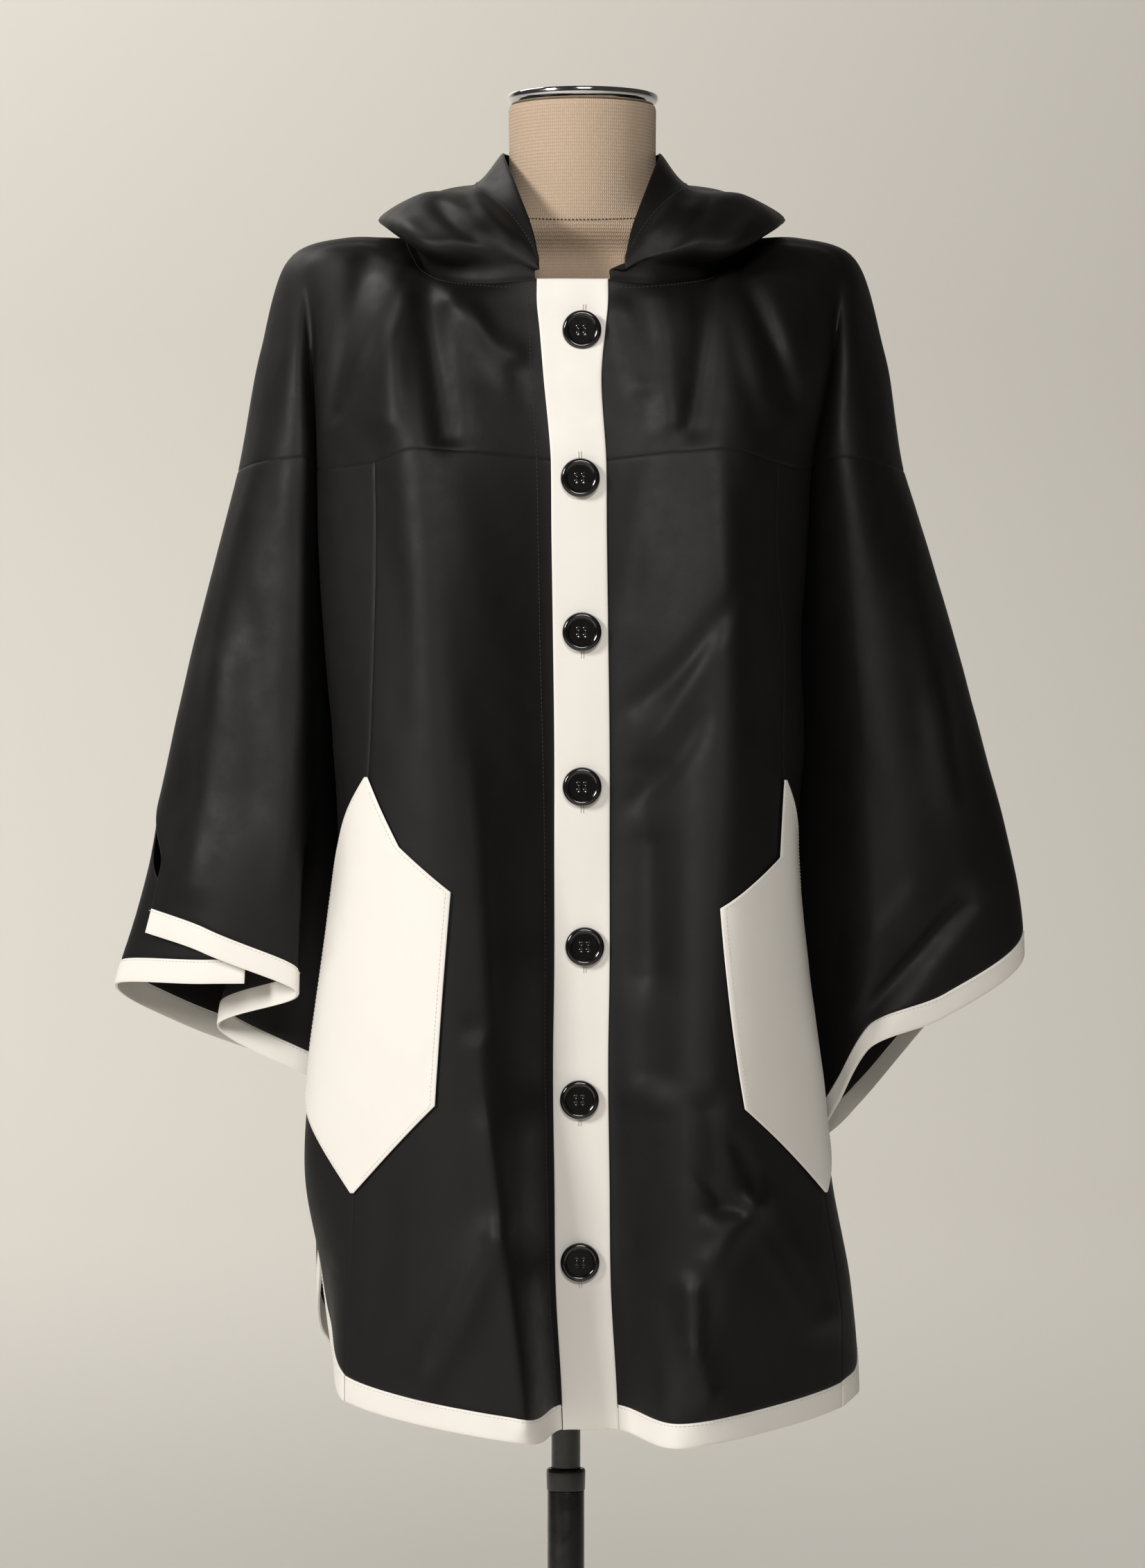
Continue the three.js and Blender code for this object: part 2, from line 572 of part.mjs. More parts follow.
/** A closed wall on a grid of surface frames: outer face at lift, inner face wall below it. */
function wallGeometry(frames, lift, wall) {
  const nu = frames.length;
  const nv = frames[0].length;
  const positions = [];
  for (const depth of [lift, lift - wall]) {
    for (const column of frames) {
      for (const { point, normal } of column) {
        const p = point.clone().addScaledVector(normal, depth);
        positions.push(p.x, p.y, p.z);
      }
    }
  }
  const inner = nu * nv;
  const at = (i, j) => i * nv + j;
  const index = [];
  const quad = (a, b, c, d) => index.push(a, b, c, a, c, d);
  for (let i = 0; i < nu - 1; i += 1) {
    for (let j = 0; j < nv - 1; j += 1) {
      quad(at(i, j), at(i + 1, j), at(i + 1, j + 1), at(i, j + 1));
      quad(inner + at(i, j), inner + at(i, j + 1), inner + at(i + 1, j + 1), inner + at(i + 1, j));
    }
    quad(at(i + 1, 0), at(i, 0), inner + at(i, 0), inner + at(i + 1, 0));
    quad(at(i, nv - 1), at(i + 1, nv - 1), inner + at(i + 1, nv - 1), inner + at(i, nv - 1));
  }
  for (let j = 0; j < nv - 1; j += 1) {
    quad(at(0, j), at(0, j + 1), inner + at(0, j + 1), inner + at(0, j));
    quad(at(nu - 1, j + 1), at(nu - 1, j), inner + at(nu - 1, j), inner + at(nu - 1, j + 1));
  }
  return closedGeometry(positions, index);
}

/** Makes a geometry whose faces point outwards. */
function closedGeometry(positions, index) {
  let volume = 0;
  const a = new THREE.Vector3();
  const b = new THREE.Vector3();
  const c = new THREE.Vector3();
  for (let i = 0; i < index.length; i += 3) {
    a.fromArray(positions, 3 * index[i]);
    b.fromArray(positions, 3 * index[i + 1]);
    c.fromArray(positions, 3 * index[i + 2]);
    volume += a.dot(b.cross(c));
  }
  const facing = volume < 0 ? flipped(index) : index;
  const geometry = new THREE.BufferGeometry();
  geometry.setAttribute('position', new THREE.Float32BufferAttribute(positions, 3));
  geometry.setIndex(facing);
  return geometry;
}

/** Turns every triangle over. */
function flipped(index) {
  const out = [];
  for (let i = 0; i < index.length; i += 3) {
    out.push(index[i], index[i + 2], index[i + 1]);
  }
  return out;
}

/** A wall on surface(u, v) over lists of u and v, trimmed by half the seam gap at its edges. */
function clothWall(surface, us, vs, sense, wall = CLOTH, lift = 0, gap = SEAM_GAP) {
  const trim = gap / 2;
  const frames = us.map((u, i) =>
    vs.map((v, j) => {
      const frame = surfaceFrame(surface, u, v, sense);
      const across = i === 0 ? trim : i === us.length - 1 ? -trim : 0;
      const upright = j === 0 ? trim : j === vs.length - 1 ? -trim : 0;
      frame.point.addScaledVector(frame.along, across);
      frame.point.addScaledVector(frame.down, upright);
      return frame;
    }),
  );
  return wallGeometry(frames, lift, wall);
}

const model = new THREE.Group();

/** Adds one named piece. */
function addPiece(name, geometry, look) {
  const mesh = new THREE.Mesh(geometry, new THREE.MeshStandardMaterial(look));
  mesh.name = name;
  model.add(mesh);
  return mesh;
}

const bodyRows = steps(0, BODY_ROWS, BODY_ROWS);
const armRows = steps(0, ARM_ROWS, ARM_ROWS);
const yokeRows = steps(-YOKE_ROWS, 0, YOKE_ROWS);
const hemRows = [BODY_ROWS, BODY_ROWS + 1];
const cuffRows = [ARM_ROWS, ARM_ROWS + 1];

/** The side edge of the front body at row k, where the armhole or the side seam lies. */
function sideAt(s, k) {
  return VALLEY + armholeClosed(s, bodyHeight(s, VALLEY, Math.min(k, BODY_ROWS))) / 2;
}

/** Front side panel, from the princess seam to the armhole and side seam. */
function sideSurface(s) {
  return (u, k) => bodyPoint(s, PRINCESS + u * (sideAt(s, k) - PRINCESS), k);
}

/** Back panel: u from 0 at the left side seam, over 1 at the centre back, to 2 at the right one. */
function backSurface(u, k) {
  const s = u < 1 ? 'l' : 'r';
  const part = u < 1 ? u : 2 - u;
  const start = 2 * VALLEY + 1 - sideAt(s, k);
  const last = VALLEY + 4;
  return bodyPoint(s, start + part * (last - start), k);
}

/** Back sheet of a sleeve: u from 0 at the tip or the vent flap's edge to 1 at the back valley. */
function backSleeveSurface(s) {
  return (u, k) => {
    const z = sleevePoint(s, TIP, Math.min(k, ARM_ROWS), 'back').z;
    const open = THREE.MathUtils.smoothstep(VENT_TOP - z, 0, VENT_TOP - CUFF_BACK.l[4]);
    const start = TIP - (s === 'l' ? FLAP_REACH * open : 0);
    return sleevePoint(s, start + u * (BACK_VALLEY - start), k, 'back');
  };
}

/** Builds the cloth of one half. */
function addHalf(s) {
  const sense = -side[s];
  const body = (u, k) => bodyPoint(s, u, k);
  const frontSleeve = (u, k) => sleevePoint(s, u, k, 'front');
  const yoke = (u, k) => yokePoint(s, u, k);
  const cuffColumns = runs([VALLEY + CUFF_START, 6, 2], [6, 7, 3], [7, BULGE, 3], [BULGE, TIP, 4]);
  const sideColumns = steps(0, 1, 8);
  const sleeveColumns = runs([VALLEY, 6, 2], [6, 7, 3], [7, BULGE, 3], [BULGE, TIP, 4]);
  const frontColumns = runs([CENTRE, STAND, 2], [STAND, 2, 5], [2, PRINCESS, 3]);
  const hemColumns = runs([STAND, 2, 5], [2, PRINCESS, 3]);
  const yokeColumns = runs(
    [CENTRE, STAND, 2], [STAND, 2, 5], [2, PRINCESS, 3], [PRINCESS, EDGE, 3], [EDGE, VALLEY, 2],
    [VALLEY, 6, 1], [6, 7, 1], [7, BULGE, 2], [BULGE, TIP, 3],
  );
  const yokeWall = clothWall(yoke, yokeColumns, yokeRows, sense, CLOTH, 0, EASED_GAP);
  addPiece(`yoke_front_${s}`, yokeWall, BLACK_CLOTH);
  addPiece(`front_${s}`, clothWall(body, frontColumns, bodyRows, sense), BLACK_CLOTH);
  addPiece(`side_${s}`, clothWall(sideSurface(s), sideColumns, bodyRows, sense), BLACK_CLOTH);
  addPiece(`sleeve_front_${s}`, clothWall(frontSleeve, sleeveColumns, armRows, sense), BLACK_CLOTH);
  const back = backSleeveSurface(s);
  const backWall = clothWall(back, steps(0, 1, 12), armRows, sense, CLOTH, 0, WIDE_GAP);
  addPiece(`sleeve_back_${s}`, backWall, BLACK_CLOTH);
  const proud = (BAND_WALL - CLOTH) / 2;
  const band = (surface, us, vs) => clothWall(surface, us, vs, sense, BAND_WALL, proud, WIDE_GAP);
  addPiece(`hem_front_${s}`, band(body, hemColumns, hemRows), WHITE_CLOTH);
  addPiece(`hem_side_${s}`, band(sideSurface(s), sideColumns, hemRows), WHITE_CLOTH);
  addPiece(`cuff_front_${s}`, band(frontSleeve, cuffColumns, cuffRows), WHITE_CLOTH);
  addPiece(`cuff_back_${s}`, band(back, steps(0, 1 - CUFF_START / 3, 12), cuffRows), WHITE_CLOTH);
}

/** Builds the back's panel, yoke and hem, each one piece across. */
function addBack() {
  const columns = steps(0, 2, 18);
  addPiece('back', clothWall(backSurface, columns, bodyRows, 1), BLACK_CLOTH);
  const proud = (BAND_WALL - CLOTH) / 2;
  const hem = clothWall(backSurface, columns, hemRows, 1, BAND_WALL, proud, WIDE_GAP);
  addPiece('hem_back', hem, WHITE_CLOTH);
  const mirrored = (u) => 2 * BACK_CENTRE - u;
  const yokeBack = (u, k) => (u < BACK_CENTRE ? yokePoint('l', u, k) : yokePoint('r', mirrored(u), k));
  const half = runs(
    [TIP, 10, 3], [10, 11, 2], [11, BACK_VALLEY, 2], [BACK_VALLEY, 13, 2], [13, 14, 3],
    [14, BACK_CENTRE, 3],
  );
  const all = [...half, ...half.slice(0, -1).reverse().map(mirrored)];
  addPiece('yoke_back', clothWall(yokeBack, all, yokeRows, 1), BLACK_CLOTH);
}

/** Builds the placket, on the points of the fronts moved out. */
function addPlacket() {
  const rows = [...yokeRows, ...bodyRows.slice(1), BODY_ROWS + 1];
  const lift = PLACKET_LIFT + PLACKET_WALL;
  const geometry = clothWall(placketPoint, steps(-1, 1, 4), rows, -1, PLACKET_WALL, lift);
  addPiece('placket', geometry, WHITE_CLOTH);
}

/** Ring number at a distance along the cloth from the princess seam, at height z. */
function ringAtDistance(s, z, distance) {
  const ring = ringCurve(s, z);
  const step = Math.sign(distance) * RING_STEP;
  let at = PRINCESS;
  let run = 0;
  let before = ring(at);
  while (run < Math.abs(distance)) {
    at += step;
    const next = ring(at);
    run += next.distanceTo(before);
    before = next;
  }
  return at;
}

/** Builds a pocket, on the points of the panels moved out. */
function addPocket(s) {
  const corners = POCKETS[s];
  const heights = [];
  POCKET_ROWS.forEach((count, i) => {
    heights.push(...steps(corners[i][0], corners[i + 1][0], count).slice(i ? 1 : 0));
  });
  const widthAt = (z, edge) => {
    const below = corners.findIndex((row) => row[0] < z);
    const i = below < 0 ? corners.length - 2 : Math.max(0, below - 1);
    const t = (z - corners[i][0]) / (corners[i + 1][0] - corners[i][0]);
    return THREE.MathUtils.lerp(corners[i][edge], corners[i + 1][edge], THREE.MathUtils.clamp(t, 0, 1));
  };
  const surface = (u, v) => {
    const z = -v;
    const inward = ringAtDistance(s, z, -widthAt(z, 1));
    const outward = ringAtDistance(s, z, widthAt(z, 2));
    return withFolds(ringCurve(s, z)(inward + (outward - inward) * u));
  };
  const frames = steps(0, 1, POCKET_COLUMNS).map((u) =>
    heights.map((z) => surfaceFrame(surface, u, -z, -side[s])),
  );
  addPiece(`pocket_${s}`, wallGeometry(frames, POCKET_LIFT + POCKET_WALL, POCKET_WALL), WHITE_CLOTH);
}

/** Row number on the fronts at height z, for the placket's middle. */
function rowAtHeight(z) {
  let low = -YOKE_ROWS;
  let high = BODY_ROWS;
  for (let i = 0; i < HALVINGS; i += 1) {
    const middle = (low + high) / 2;
    if (placketPoint(0, middle).z > z) {
      low = middle;
    } else {
      high = middle;
    }
  }
  return low;
}

/** Builds the buttons, seated on the placket. */
function addButtons() {
  const r = BUTTON_RADIUS;
  const t = BUTTON_THICK;
  const profile = [
    [0, 0],
    [r - 1.5, 0],
    [r, t * 0.45],
    [r - 1, t * 0.9],
    [r - 2.6, t],
    [r - 4.6, t * 0.62],
    [0, t * 0.55],
  ].map(([x, y]) => new THREE.Vector2(x, y));
  BUTTONS.forEach(([z, across], i) => {
    const frame = surfaceFrame(placketPoint, 0, rowAtHeight(z), -1);
    const button = addPiece(`button_${i + 1}`, new THREE.LatheGeometry(profile, BUTTON_SIDES), BLACK_GLOSS);
    const lift = PLACKET_LIFT + PLACKET_WALL + BUTTON_LIFT;
    button.position.copy(frame.point).addScaledVector(frame.normal, lift);
    button.position.x += across;
    button.quaternion.setFromUnitVectors(new THREE.Vector3(0, 1, 0), frame.normal);
  });
}

/** Builds half of the hood, standing on the yoke's neck edge. */
function addHood(s) {
  const sign = side[s];
  const stations = HOOD_STATIONS.map(([column, ...row]) => {
    const seam = yokePoint(s, column, -YOKE_ROWS).add(new THREE.Vector3(0, 0, HOOD_SEAT));
    const rest = row.map(([x, y, z]) => new THREE.Vector3(HOOD_X + sign * (HOOD_X - x), y, z));
    const rise = rest[0].z > seam.z ? Math.min(HOOD_STAND, 0.6 * (rest[0].z - seam.z) + 2) : HOOD_STAND;
    const stand = seam.clone().add(new THREE.Vector3(0, 0, rise));
    return [seam, stand, ...rest];
  });
  const back = stations[stations.length - 1];
  back[0].x = HOOD_X;
  back[1].x = HOOD_X;
  const lines = stations[0].map((_, c) => pointCurve(stations.map((row) => row[c])));
  const surface = (u, v) => pointCurve(lines.map((line) => line(u)))(v);
  const us = runs([0, 3, 6], [3, 9, 12]);
  const vs = runs([0, 1, 1], [1, 2, 3], [2, 3, 3], [3, 4, 2], [4, 5, 3]);
  addPiece(`hood_${s}`, clothWall(surface, us, vs, sign, HOOD_WALL, HOOD_WALL / 2, WIDE_GAP), BLACK_CLOTH);
}

/** Builds the dress form as one smooth body with closed ends. */
function addForm() {
  const positions = [];
  const index = [];
  for (const [z, x, y, width, front, rear] of FORM_ROWS) {
    for (let i = 0; i < FORM_SIDES; i += 1) {
      const angle = (2 * Math.PI * i) / FORM_SIDES;
      const depth = Math.sin(angle) < 0 ? front : rear;
      positions.push(x + width * Math.cos(angle), y + depth * Math.sin(angle), z);
    }
  }
  const rows = FORM_ROWS.length;
  const at = (row, i) => row * FORM_SIDES + (i % FORM_SIDES);
  for (let row = 0; row < rows - 1; row += 1) {
    for (let i = 0; i < FORM_SIDES; i += 1) {
      index.push(at(row, i), at(row, i + 1), at(row + 1, i + 1));
      index.push(at(row, i), at(row + 1, i + 1), at(row + 1, i));
    }
  }
  for (const [row, turn] of [[0, 1], [rows - 1, -1]]) {
    const [z, x, y] = FORM_ROWS[row];
    positions.push(x, y, z);
    const middle = positions.length / 3 - 1;
    for (let i = 0; i < FORM_SIDES; i += 1) {
      const [from, to] = turn > 0 ? [i + 1, i] : [i, i + 1];
      index.push(middle, at(row, from), at(row, to));
    }
  }
  addPiece('dress_form', closedGeometry(positions, index), LINEN);
}

/** A turned piece from a profile of radius and height, standing on the pole's axis. */
function addTurned(name, profile, sides, look, x = POLE_X, y = 0) {
  const points = profile.map(([r, z]) => new THREE.Vector2(r, z));
  const mesh = addPiece(name, new THREE.LatheGeometry(points, sides), look);
  mesh.rotation.x = Math.PI / 2;
  mesh.position.set(x, y, 0);
}

/** Builds the neck's metal cap, the tubes and the base. */
function addStand() {
  const z = NECK_TOP + SEAM_GAP;
  const capProfile = [
    [0, z],
    [CAP_RADIUS - 4, z],
    [CAP_RADIUS - 1, z + 2],
    [CAP_RADIUS, z + 5],
    [CAP_RADIUS, z + 8],
    [CAP_RADIUS - 1, z + 9],
    [0, z + 9.5],
  ];
  addTurned('neck_cap', capProfile, 32, CHROME, NECK_X, 5);
  const bore = TUBE_INNER_RADIUS + TUBE_CLEARANCE;
  const formFoot = FORM_ROWS[0][0] - SEAM_GAP;
  const upper = [
    [0, UPPER_TUBE_FOOT],
    [TUBE_INNER_RADIUS, UPPER_TUBE_FOOT],
    [TUBE_INNER_RADIUS, formFoot - FLANGE_THICK - 1],
    [FLANGE_RADIUS, formFoot - FLANGE_THICK],
    [FLANGE_RADIUS, formFoot],
    [0, formFoot],
  ];
  addTurned('tube_upper', upper, 24, BLACK_STEEL);
  const foot = BASE_THICK + SEAM_GAP;
  const lower = [
    [bore, foot],
    [TUBE_OUTER_RADIUS, foot],
    [TUBE_OUTER_RADIUS, TUBE_TOP],
    [bore, TUBE_TOP],
    [bore, foot],
  ];
  addTurned('tube_lower', lower, 24, BLACK_STEEL);
  const low = TUBE_TOP + SEAM_GAP;
  const high = TUBE_TOP + COLLAR_HEIGHT;
  const collar = [
    [bore, low],
    [TUBE_OUTER_RADIUS + 0.4, low],
    [TUBE_OUTER_RADIUS + 0.9, high - 2],
    [TUBE_OUTER_RADIUS, high],
    [bore, high],
    [bore, low],
  ];
  addTurned('collar', collar, 24, BLACK_STEEL);
  const socketBore = TUBE_OUTER_RADIUS + SEAM_GAP;
  const socket = [
    [socketBore, foot],
    [SOCKET_RADIUS, foot],
    [SOCKET_RADIUS - 4, SOCKET_HEIGHT],
    [socketBore, SOCKET_HEIGHT],
    [socketBore, foot],
  ];
  addTurned('socket', socket, 24, BLACK_STEEL);
  const base = [
    [0, 0],
    [BASE_RADIUS - 2, 0],
    [BASE_RADIUS, 3],
    [BASE_RADIUS - 1, 6],
    [SOCKET_RADIUS + 20, BASE_THICK],
    [0, BASE_THICK],
  ];
  addTurned('base', base, 48, BLACK_STEEL);
}

addHalf('l');
addHalf('r');
addBack();
addPlacket();
addPocket('l');
addPocket('r');
addButtons();
addHood('l');
addHood('r');
addForm();
addStand();

export default model;
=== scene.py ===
"""A hooded raincoat on a limbless dress form with a telescopic stand.

The plan of the coat is drafted in millimetres, in the tables below, and every mesh is in metres.
The suffixes _l and _r are the viewer's left (-X) and right (+X), seen from the front (-Y).
"""

import sys
import json
import logging
import math
from dataclasses import dataclass, field
from enum import Enum
from typing import Callable, Sequence

import bpy
import numpy as np
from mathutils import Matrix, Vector, noise

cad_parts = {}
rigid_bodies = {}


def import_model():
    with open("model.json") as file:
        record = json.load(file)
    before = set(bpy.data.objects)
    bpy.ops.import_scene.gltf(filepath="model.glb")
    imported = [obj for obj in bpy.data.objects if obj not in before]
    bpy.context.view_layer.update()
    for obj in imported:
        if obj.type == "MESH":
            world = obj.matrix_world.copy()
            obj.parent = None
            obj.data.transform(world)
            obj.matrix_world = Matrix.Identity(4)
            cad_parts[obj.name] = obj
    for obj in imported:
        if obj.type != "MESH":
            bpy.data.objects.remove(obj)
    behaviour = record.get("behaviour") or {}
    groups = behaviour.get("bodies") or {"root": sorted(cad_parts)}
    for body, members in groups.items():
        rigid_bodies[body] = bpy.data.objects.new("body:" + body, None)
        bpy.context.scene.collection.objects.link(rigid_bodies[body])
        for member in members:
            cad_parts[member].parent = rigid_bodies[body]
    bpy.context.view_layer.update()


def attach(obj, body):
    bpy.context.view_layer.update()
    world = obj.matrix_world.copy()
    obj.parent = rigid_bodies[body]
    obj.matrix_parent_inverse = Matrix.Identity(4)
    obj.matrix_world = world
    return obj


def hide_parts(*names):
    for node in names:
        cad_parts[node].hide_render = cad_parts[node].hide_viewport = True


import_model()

Array = np.ndarray
Surface = Callable[[Array, Array], Array]
Socket = bpy.types.NodeSocket
Colour = tuple[float, float, float]
Profile = list[tuple[float, float]]
LOG = logging.getLogger("raincoat")

MM = 0.001
SHORT_SPAN = 1e-4
TINY = 1e-9
FORM_BODY = "form"
STAND_BODY = "stand"

CLOTH = 1.6
ROLL_REACH = 2.2
INNER_ROLL = 0.4
BAND_WALL = 2.4
BAND_WIDTH = 19
PLACKET_WIDTH = 41
PLACKET_CROWN = 0.5
PLACKET_WALL = 1.4
PLACKET_LIFT = 0.4
POCKET_WALL = 1.2
POCKET_LIFT = 1.6
HOOD_WALL = 1.6
HOOD_STAND = 11
HOOD_SEAT = 0.6
ARMHOLE_CLOSE = 9
VENT_TOP = 940
VENT_BLEND = 30
FLAP_REACH = 2
VENT_SHORT = 0.45
VENT_GAP = 8
CUFF_START = 0.03
# How far ahead of or behind the side a point must be for a fold, or a crease, to reach full height.
FOLD_FADE = (5, 45)
CREASE_FADE = (12, 50)
# Closely spaced numbers for measuring along a line, and points along one row of topstitching.
DENSE = 241
ROW_POINTS = 240

# Sizes of the shells that aren't plain panels.
BAND = {"wall": BAND_WALL, "lift": (BAND_WALL - CLOTH) / 2, "trim": 0.6, "roll": 0.9, "cell": 3.5}
FRONT_BAND = {"wall": PLACKET_WALL, "lift": PLACKET_LIFT + PLACKET_WALL, "trim": 0.15, "roll": 0.5}
POCKET = {"wall": POCKET_WALL, "lift": POCKET_LIFT + POCKET_WALL, "trim": 0.0, "roll": 0.5}
HOOD = {"wall": HOOD_WALL, "lift": HOOD_WALL / 2, "trim": -0.4, "sink": 1.6, "cell": 3.2}

# Stitching: how far in from its edge each row runs, and the hood's row, just past the dip.
YOKE_STITCH = 6
POCKET_STITCH = 3.6
POCKET_STITCH_END = 12
BAND_STITCH = 2.2
HOOD_STITCH_ROW = 4.05
STITCH_RISE = 0.1
INSET_RISE = 0.12
HOLE_RISE = 0.15
# Buttonholes: half length, each row's distance from the middle, and the shift along the placket.
HOLE_HALF = 15.5
HOLE_SIDE = 0.9
HOLE_SHIFT = 3.4
BUTTON_LIFT = 0.4
# The form's neck: its middle, x and y, and the underside of the metal cap over it.
NECK_AT = (12.5, 5)
CAP_FOOT = 1486.3

# Column numbers round one half of the coat, from the centre front to the centre back.
STAND = 1
PRINCESS = 3
EDGE = 4
VALLEY = 5
FOLD = 7
BULGE = 8
TIP = 9
BACK_VALLEY = 12
BACK_CENTRE = 15

# Rows down the coat: the neck edge is -YOKE_ROWS, the yoke seam 0 and the hem BODY_ROWS.
YOKE_ROWS = 7
ARM_ROWS = 9
SKIRT_ROWS = 5
BODY_ROWS = ARM_ROWS + 2 + SKIRT_ROWS


class Half(Enum):
    """The halves of the coat, for the viewer's left and right."""

    LEFT = "l"
    RIGHT = "r"

    @property
    def sign(self) -> int:
        """Sign of X on this half."""
        return -1 if self is Half.LEFT else 1

    @property
    def other(self) -> "Half":
        """The opposite half."""
        return Half.RIGHT if self is Half.LEFT else Half.LEFT


class Ply(Enum):
    """The two sheets of a sleeve."""

    FRONT = "front"
    BACK = "back"


# Plan of the front: height, then the centre, bust ridge, princess seam, edge and valley, as x, y.
FRONT = {
    Half.LEFT: [
        [1290, [4, -114], [-98, -120], [-142, -104], [-182, -67], [-192, -42]],
        [1225, [9, -124], [-108, -140], [-141, -116], [-184, -70], [-186, -40]],
        [1150, [10, -122], [-102, -150], [-140, -122], [-183, -76], [-181, -26]],
        [1080, [11, -118], [-97, -154], [-141, -124], [-178, -80], [-176, -14]],
        [1000, [12, -114], [-90, -156], [-144, -124], [-171, -84], [-171, -6]],
        [920, [12, -111], [-80, -157], [-150, -122], [-168, -84], [-170, -3]],
        [840, [12, -109], [-71, -158], [-153, -119], [-178, -80], [-174, -3]],
        [760, [11, -108], [-62, -158], [-155, -114], [-189, -72], [-182, -6]],
        [680, [12, -108], [-52, -160], [-156, -108], [-194, -62], [-188, -8]],
        [600, [13, -108], [-41, -162], [-160, -100], [-180, -52], [-184, -8]],
        [530, [17, -108], [-32, -163], [-164, -92], [-174, -46], [-178, -8]],
        [480, [19, -108], [-27, -164], [-164, -90], [-172, -44], [-176, -8]],
    ],
    Half.RIGHT: [
        [1290, [4, -114], [108, -120], [152, -102], [188, -66], [198, -42]],
        [1225, [9, -124], [116, -138], [157, -110], [182, -68], [187, -40]],
        [1150, [10, -122], [115, -148], [155, -114], [178, -72], [181, -26]],
        [1080, [11, -118], [114, -152], [160, -112], [174, -74], [176, -14]],
        [1000, [12, -114], [113, -154], [160, -112], [177, -74], [173, -6]],
        [920, [12, -111], [111, -155], [163, -108], [171, -70], [171, -3]],
        [840, [12, -109], [108, -156], [168, -102], [178, -66], [175, -3]],
        [760, [11, -108], [104, -156], [177, -92], [189, -56], [183, -6]],
        [680, [12, -108], [102, -154], [190, -78], [199, -42], [192, -6]],
        [600, [13, -108], [106, -150], [202, -70], [214, -32], [202, -2]],
        [530, [17, -108], [90, -150], [206, -66], [221, -28], [206, 0]],
        [480, [19, -108], [84, -150], [206, -64], [221, -26], [206, 0]],
    ],
}
# Plan of the back, for the right half: height, then back valley, back edge, back ridge, centre.
BACK = [
    [1290, [190, 46], [172, 75], [98, 107], [0, 109]],
    [1225, [186, 42], [176, 82], [98, 116], [0, 116]],
    [1150, [182, 40], [176, 87], [100, 121], [0, 114]],
    [1080, [177, 37], [176, 90], [102, 125], [0, 112]],
    [1000, [172, 34], [177, 92], [103, 129], [0, 113]],
    [920, [170, 32], [179, 94], [104, 133], [0, 116]],
    [840, [174, 31], [183, 95], [106, 137], [0, 119]],
    [760, [182, 30], [188, 95], [108, 141], [0, 122]],
    [680, [188, 28], [191, 92], [109, 144], [0, 125]],
    [600, [188, 26], [188, 88], [109, 146], [0, 128]],
    [530, [186, 26], [186, 86], [109, 148], [0, 130]],
    [480, [186, 26], [186, 86], [109, 149], [0, 131]],
]
# Plan of the sleeves: height, then crease, fold, bulge, tip, back bulge and back fold.
SLEEVE = {
    Half.LEFT: [
        [1290, [-196, -48], [-203, -50], [-216, -34], [-231, 4], [-216, 37], [-201, 52]],
        [1225, [-189, -50], [-195, -62], [-222, -50], [-245, 4], [-222, 46], [-200, 62]],
        [1150, [-188, -50], [-197, -66], [-232, -54], [-264, 3], [-234, 48], [-203, 66]],
        [1080, [-187, -48], [-197, -69], [-240, -58], [-282, 2], [-246, 50], [-206, 68]],
        [1000, [-187, -44], [-197, -71], [-250, -61], [-300, 1], [-258, 50], [-209, 68]],
        [940, [-190, -40], [-197, -72], [-258, -62], [-313, 0], [-268, 50], [-212, 66]],
        [880, [-216, -28], [-198, -72], [-266, -64], [-328, 0], [-278, 48], [-215, 62]],
        [820, [-256, -10], [-199, -70], [-274, -62], [-346, 0], [-288, 46], [-217, 57]],
        [740, [-266, -4], [-200, -68], [-280, -60], [-352, 0], [-294, 42], [-218, 48]],
    ],
    Half.RIGHT: [
        [1290, [202, -48], [210, -50], [224, -34], [238, 4], [224, 37], [208, 52]],
        [1225, [191, -50], [204, -60], [228, -50], [252, 4], [228, 46], [204, 62]],
        [1150, [192, -50], [214, -64], [244, -54], [275, 3], [242, 48], [207, 66]],
        [1080, [194, -46], [222, -66], [260, -56], [296, 2], [256, 50], [211, 68]],
        [1000, [197, -42], [230, -66], [275, -56], [317, 1], [270, 50], [216, 68]],
        [940, [199, -38], [233, -64], [284, -54], [333, 0], [280, 50], [220, 66]],
        [880, [201, -34], [232, -61], [288, -50], [345, 0], [286, 50], [223, 62]],
        [820, [203, -30], [229, -58], [288, -46], [348, 0], [288, 48], [224, 58]],
        [740, [203, -24], [226, -55], [286, -44], [349, 0], [288, 46], [222, 50]],
    ],
}
YOKE_X = 5
